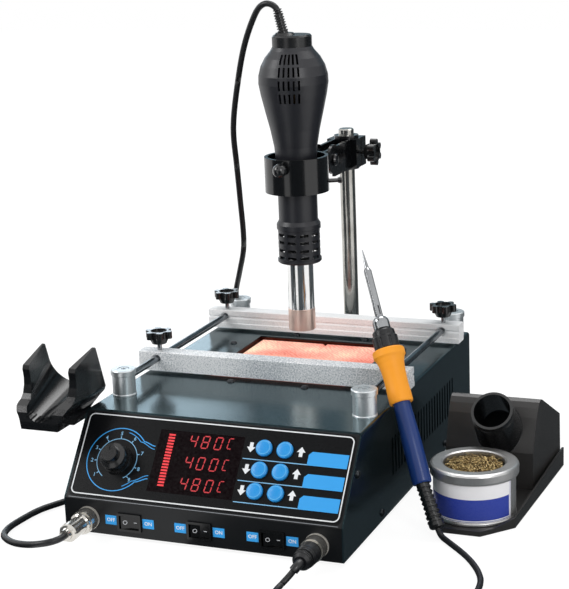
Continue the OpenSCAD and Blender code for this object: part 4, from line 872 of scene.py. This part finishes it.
display = {
    "rows": (57.4, 39.4, 21.6), "columns": (-18.4, -7.9, 3.4), "texts": ("480", "400", "480"), "size": (6.4, 11.0),
    "pen": 1.0, "slant": 0.12, "gap": 0.25, "thick": 0.05,
    # the unit beside each figure is smaller, finer and a little higher
    "unit": "C", "unitAt": 13.6, "unitUp": 0.8, "unitSize": (4.608, 9.46), "unitPen": 0.8,
    "barAt": -38.0, "barSpan": (18.4, 61.0), "barCount": 18, "barSize": (2.8, 0.75),
    "figureRed": "#a3141f", "figureGlow": 0.42, "barRed": "#d01c26", "barGlow": 0.5,
}
segmentsOf = {"0": "abcdef", "4": "bcfg", "8": "abcdefg", "C": "adef"}


def segment(which, size, pen, at, d):
    # one of the seven bars of a figure, with pointed ends, leaning by the slant
    w, h = size[0] / 2 - pen / 2, size[1] / 2 - pen / 2
    ends = {"a": ((-w, h), (w, h)), "b": ((w, h), (w, 0)), "c": ((w, 0), (w, -h)), "d": ((-w, -h), (w, -h)),
            "e": ((-w, -h), (-w, 0)), "f": ((-w, 0), (-w, h)), "g": ((-w, 0), (w, 0))}[which]
    a, b = np.array(ends[0], float), np.array(ends[1], float)
    way = (b - a) / np.linalg.norm(b - a)
    side = np.array([-way[1], way[0]]) * pen / 2
    a, b = a + way * d["gap"], b - way * d["gap"]
    first, last = a + way * pen / 2, b - way * pen / 2
    o = np.array([a, first - side, last - side, b, last + side, first + side])
    return np.c_[o[:, 0] + o[:, 1] * d["slant"], o[:, 1]] + at


def lightDisplay(d):
    # three rows of figures with their unit, and a ladder of bars beside them
    low, high = slope["film"] - slope["sunk"], slope["film"] + d["thick"]
    red = lightedSegment("redDiode", d["barRed"], d["barGlow"])
    dim = lightedSegment("dimDiode", d["figureRed"], d["figureGlow"])
    figures, bars = [], []
    for row, text in zip(d["rows"], d["texts"]):
        for column, figure in zip(d["columns"], text):
            figures += [plate(segment(k, d["size"], d["pen"], (column, row), d), low, high) for k in segmentsOf[figure]]
        at = (d["unitAt"], row + d["unitUp"])
        figures += [plate(segment(k, d["unitSize"], d["unitPen"], at, d), low, high) for k in segmentsOf[d["unit"]]]
    x, (w, h) = d["barAt"], d["barSize"]
    for y in np.linspace(*d["barSpan"], d["barCount"]):
        bars.append(plate([(x - w, y - h), (x + w, y - h), (x + w, y + h), (x - w, y + h)], low, high))
    inkPiece("displayFigures", figures, onSlope, dim)
    inkPiece("displayBar", bars, onSlope, red)


lightDisplay(display)
print("panel printed")


# the rocker's face is a shallow V: so far in front of the pivot in its middle, and further by the rise at its ends
rockerMarks = {
    "ink": "#c9ccd0", "rest": 8, "pivot": (-170, 15.3), "face": 3.5, "rise": 1.1, "half": 7.7, "thick": 0.07,
    "ring": (-4.3, 1.5, 0.5), "bar": (3.0, 5.6, 0.3),
}


def markRockers(r):
    # a ring and a bar lie on each rocker's own face, turned with it about the pivot
    ink = printedInk("ink_rocker", r["ink"])
    cosine, sine = math.cos(math.radians(r["rest"])), math.sin(math.radians(r["rest"]))
    y, z = r["pivot"]
    at, radius, line = r["ring"]
    x0, x1, half = r["bar"]
    marks = [stroke(arc((at, 0), radius, 0, 360, 25)[:-1], line, 0.0, r["thick"], True),
             plate([(x0, -half), (x1, -half), (x1, half), (x0, half)], 0.0, r["thick"])]
    for body, x in rockersAt.items():
        def onRocker(points, x=x):
            p = np.asarray(points, float)
            lx, ly = p[:, 0], -(r["face"] + np.abs(p[:, 0]) / r["half"] * r["rise"]) - p[:, 2]
            return np.stack([x + lx * cosine - ly * sine, y + lx * sine + ly * cosine, z + p[:, 1]], 1) * mm
        inkPiece("rockerMarks_" + body, marks, onRocker, ink, body=body)


markRockers(rockerMarks)


tin = {
    "at": (186.5, -46.5), "wall": 33.4, "mouth": 23.8, "label": (-225, -15.5, 7.2, 38.9), "field": 26.8, "edge": 2.2,
    "paper": (0.02, 0.12), "ink": (0.1, 0.16), "paperWhite": "#f3f2f4", "inkBlue": "#3547a6",
}


def curvedPlate(t, turns, heights, off):
    # patch of the tin's wall: from angle to angle and height to height, a paper's thickness off the metal
    count = 121
    turn = np.radians(np.linspace(*turns, count))
    radii = t["wall"] + np.array([off[0], off[1], off[1], off[0]])
    z = np.array([heights[0], heights[0], heights[1], heights[1]])
    grid = np.stack([t["at"][0] + radii * np.cos(turn)[:, None], t["at"][1] + radii * np.sin(turn)[:, None],
                     np.broadcast_to(z, (count, 4))], -1)
    return bar(grid)


def labelTin(t):
    # paper label: bare white above, a blue field below, and a thin blue line along its foot and its end
    first, last, foot, head = t["label"]
    edge, ink = t["edge"], t["ink"]
    paper, blue = printedInk("labelPaper", t["paperWhite"], rough=0.3), printedInk("labelInk", t["inkBlue"], rough=0.28)
    whites = [curvedPlate(t, (first, last), (foot, head), t["paper"])]
    blues = [curvedPlate(t, (first, last - edge * 2), (foot + 2.0, t["field"]), ink),
             curvedPlate(t, (first, last - edge * 0.6), (foot + 0.7, foot + 1.1), ink),
             curvedPlate(t, (last - edge * 0.95, last - edge * 0.6), (foot + 0.7, head - 0.6), ink)]
    for name, parts, material in (("labelPaper", whites, paper), ("labelField", blues, blue)):
        verts, faces = joined(parts)
        ridingPiece(name, verts * mm, faces, material, "tin", smooth=False)


wool = {
    "seed": 7, "count": 430, "steps": 28, "reach": 21.0, "top": 44.2, "sag": 210, "loose": 2.0, "lean": 0.9,
    "radius": (0.9, 1.5), "turns": (1.0, 1.6), "length": (4, 8), "half": 0.24, "thick": 0.07,
    # the shavings' two colours are painted shade and painted glints
    "heights": (41.5, 49.2), "paintedShadeBrown": "#3a2006", "paintedGlint": "#ffe2a0",
}


def curlWool(t, w):
    # every shaving is a flat ribbon wound in a loose helix, thrown at random over a low dome
    rng = np.random.default_rng(w["seed"])
    count, steps = w["count"], w["steps"]

    def draw(low=0.0, span=1.0):
        # one random number for each shaving
        return low + rng.random((count, 1, 1)) * span

    u = np.linspace(0, 1, steps)[None, :, None]
    spread = np.sqrt(draw()) * w["reach"]
    where = draw() * 2 * np.pi
    height = w["top"] - spread ** 2 / w["sag"] + draw(0.0, w["loose"])
    centre = np.concatenate([spread * np.cos(where), spread * np.sin(where), height], -1)
    heading = draw() * 2 * np.pi
    lift = (draw() - 0.5) * w["lean"]
    axis = np.concatenate([np.cos(heading) * np.cos(lift), np.sin(heading) * np.cos(lift), np.sin(lift)], -1)
    sideways = np.cross(axis, np.array([0, 0, 1.0]))
    sideways /= np.linalg.norm(sideways, axis=-1, keepdims=True)
    upward = np.cross(sideways, axis)
    radius = draw(*w["radius"])
    wind = 2 * np.pi * draw(*w["turns"])
    length = draw(*w["length"])
    line = centre + axis * (u - 0.5) * length + radius * (np.cos(wind * u) * sideways + np.sin(wind * u) * upward)
    ribbon = w["half"] * axis + 0 * line
    way = np.gradient(line, axis=1)
    thick = np.cross(way, ribbon)
    thick *= w["thick"] / np.linalg.norm(thick, axis=-1, keepdims=True)
    grid = np.stack([line - ribbon - thick, line + ribbon - thick, line + ribbon + thick, line - ribbon + thick], 2)
    # what would stick out of the tin is pushed in to its mouth, and up or down into the heap
    away = np.linalg.norm(grid[..., :2], axis=-1, keepdims=True)
    grid[..., :2] *= np.minimum(1, t["mouth"] / np.maximum(away, 1e-6))
    grid[..., 2] = np.clip(grid[..., 2], *w["heights"])
    grid[..., :2] += t["at"]
    faces = gridFaces(steps, 4, False, True)
    caps = np.array([[3, 2, 1, 0], [4 * steps - 4, 4 * steps - 3, 4 * steps - 2, 4 * steps - 1]])
    each = np.vstack([faces, caps])
    allFaces = (each[None] + (np.arange(count) * 4 * steps)[:, None, None]).reshape(-1, 4)
    # bright brass whose strands differ from one millimetre to the next: painted glints, with painted shade in dark
    # brown between them
    material, tree, shader, place = startMaterial("brassShavings", {"Metallic": 0.6, "Roughness": 0.26})
    strands = addNode(tree, "TexNoise", {"Scale": 800.0, "Detail": 2.0}, {"Vector": place})
    paintedGlint = addNode(tree, "MapRange", {"From Min": 0.45, "From Max": 0.57}, {"Value": strands})
    tint = addNode(tree, "Mix", {"data_type": "RGBA", 6: linear(w["paintedShadeBrown"]), 7: linear(w["paintedGlint"])}, {0: paintedGlint})
    tree.links.new(tint.outputs[2], shader.inputs["Base Color"])
    ridingPiece("brassCurls", grid.reshape(-1, 3) * mm, allFaces, material, "tin")


labelTin(tin)
curlWool(tin, wool)
print("tip cleaner filled")


def torus(centre, axis, radius, thick):
    # circle of the thickness carried round the axis at the radius: forty places round, eight points each
    axis = np.asarray(axis, float) / np.linalg.norm(axis)
    first = np.cross(axis, (0.31, 0.42, 0.85))
    first /= np.linalg.norm(first)
    second = np.cross(axis, first)
    u = np.linspace(0, 2 * np.pi, 40, endpoint=False)[:, None, None]
    v = np.linspace(0, 2 * np.pi, 8, endpoint=False)[None, :, None]
    out = np.cos(u) * first + np.sin(u) * second
    grid = np.asarray(centre, float) + (radius + thick * np.cos(v)) * out + thick * np.sin(v) * axis
    return grid.reshape(-1, 3), gridFaces(40, 8, True, True)[:, ::-1].tolist()


# raised ribs: distance from the start along the way, and the radius each one lies at
ribs = {
    "plugRibs": {"from": (98.5, -174, 15.5), "to": (98.5, -214, 15.5), "body": "housing", "slot": "relief_black",
                 "thick": 0.5, "reach": (15.6, 17.8, 20.0, 24.9, 26.9, 30.0, 31.8),
                 "radii": (8.4, 8.4, 8.3, 8.1, 7.9, 7.5, 7.2)},
    "capRibs": {"from": (-7.3, 56.7, 379), "to": (-12.14, 56.7, 398.41), "body": "gun", "slot": "gun_plastic",
                "thick": 0.55, "reach": (3.3, 5.6, 7.9, 10.1, 12.4, 14.6, 17.0, 19.2, 21.4),
                "radii": (4.2, 4.1, 4.05, 4.0, 3.9, 3.85, 3.8, 3.6, 3.4)},
    "ironRibs": {"from": (171.1, -98.2, 8), "to": (154.53, -83.99, 38.47), "body": "iron", "slot": "relief_black",
                 "thick": 0.6, "reach": (5.8, 9.9, 13.9, 17.9, 21.9, 25.9, 29.9, 33.8),
                 "radii": (6.15, 6.0, 5.7, 5.5, 5.4, 5.4, 5.4, 5.4)},
}
tie = {
    "turn": 205, "middle": (27.0, 7.4), "half": (5.6, 7.6), "power": 0.6, "inner": 0.93, "outer": 1.05,
    "reach": 1.6, "lift": 0.2, "around": 40,
}


def addRibs(name, r):
    # rings square to the way, each at its own distance and radius
    start = np.array(r["from"], float)
    way = (np.array(r["to"]) - start) / np.linalg.norm(np.array(r["to"]) - start)
    rings = [torus(start + way * d, way, radius, r["thick"]) for d, radius in zip(r["reach"], r["radii"])]
    verts, faces = joined(rings)
    ridingPiece(name, verts * mm, faces, finishes["boot"], r["body"])


def addTie(t, coil):
    # strap round the coil's bundle: an oval square to the turns, cosine and sine raised to the power
    a = math.radians(t["turn"])
    out, alongTurn = np.array([math.cos(a), math.sin(a), 0]), np.array([-math.sin(a), math.cos(a), 0])
    up = np.array([0, 0, 1.0])
    turn = np.linspace(0, 2 * np.pi, t["around"], endpoint=False)[:, None]
    across, rise = (np.sign(k) * np.abs(k) ** t["power"] for k in (np.cos(turn), np.sin(turn)))
    oval = across * out * t["half"][0] + rise * up * t["half"][1]
    middle = np.array([*coil["at"], 0]) + out * t["middle"][0] + up * t["middle"][1]
    inner, outer, reach = oval * t["inner"], oval * t["outer"], alongTurn * t["reach"]
    grid = middle + np.stack([inner - reach, inner + reach, outer + reach, outer - reach], 1)
    grid[..., 2] = np.maximum(grid[..., 2], t["lift"])
    faces = gridFaces(t["around"], 4, True, True)[:, ::-1]
    ridingPiece("coilTie", grid.reshape(-1, 3) * mm, faces, cordRubber, "housing")


for name, r in ribs.items():
    addRibs(name, r)
addTie(tie, ironCoil)
print("ribs and tie set")


bpy.context.view_layer.update()

scene.view_settings.view_transform = "Standard"
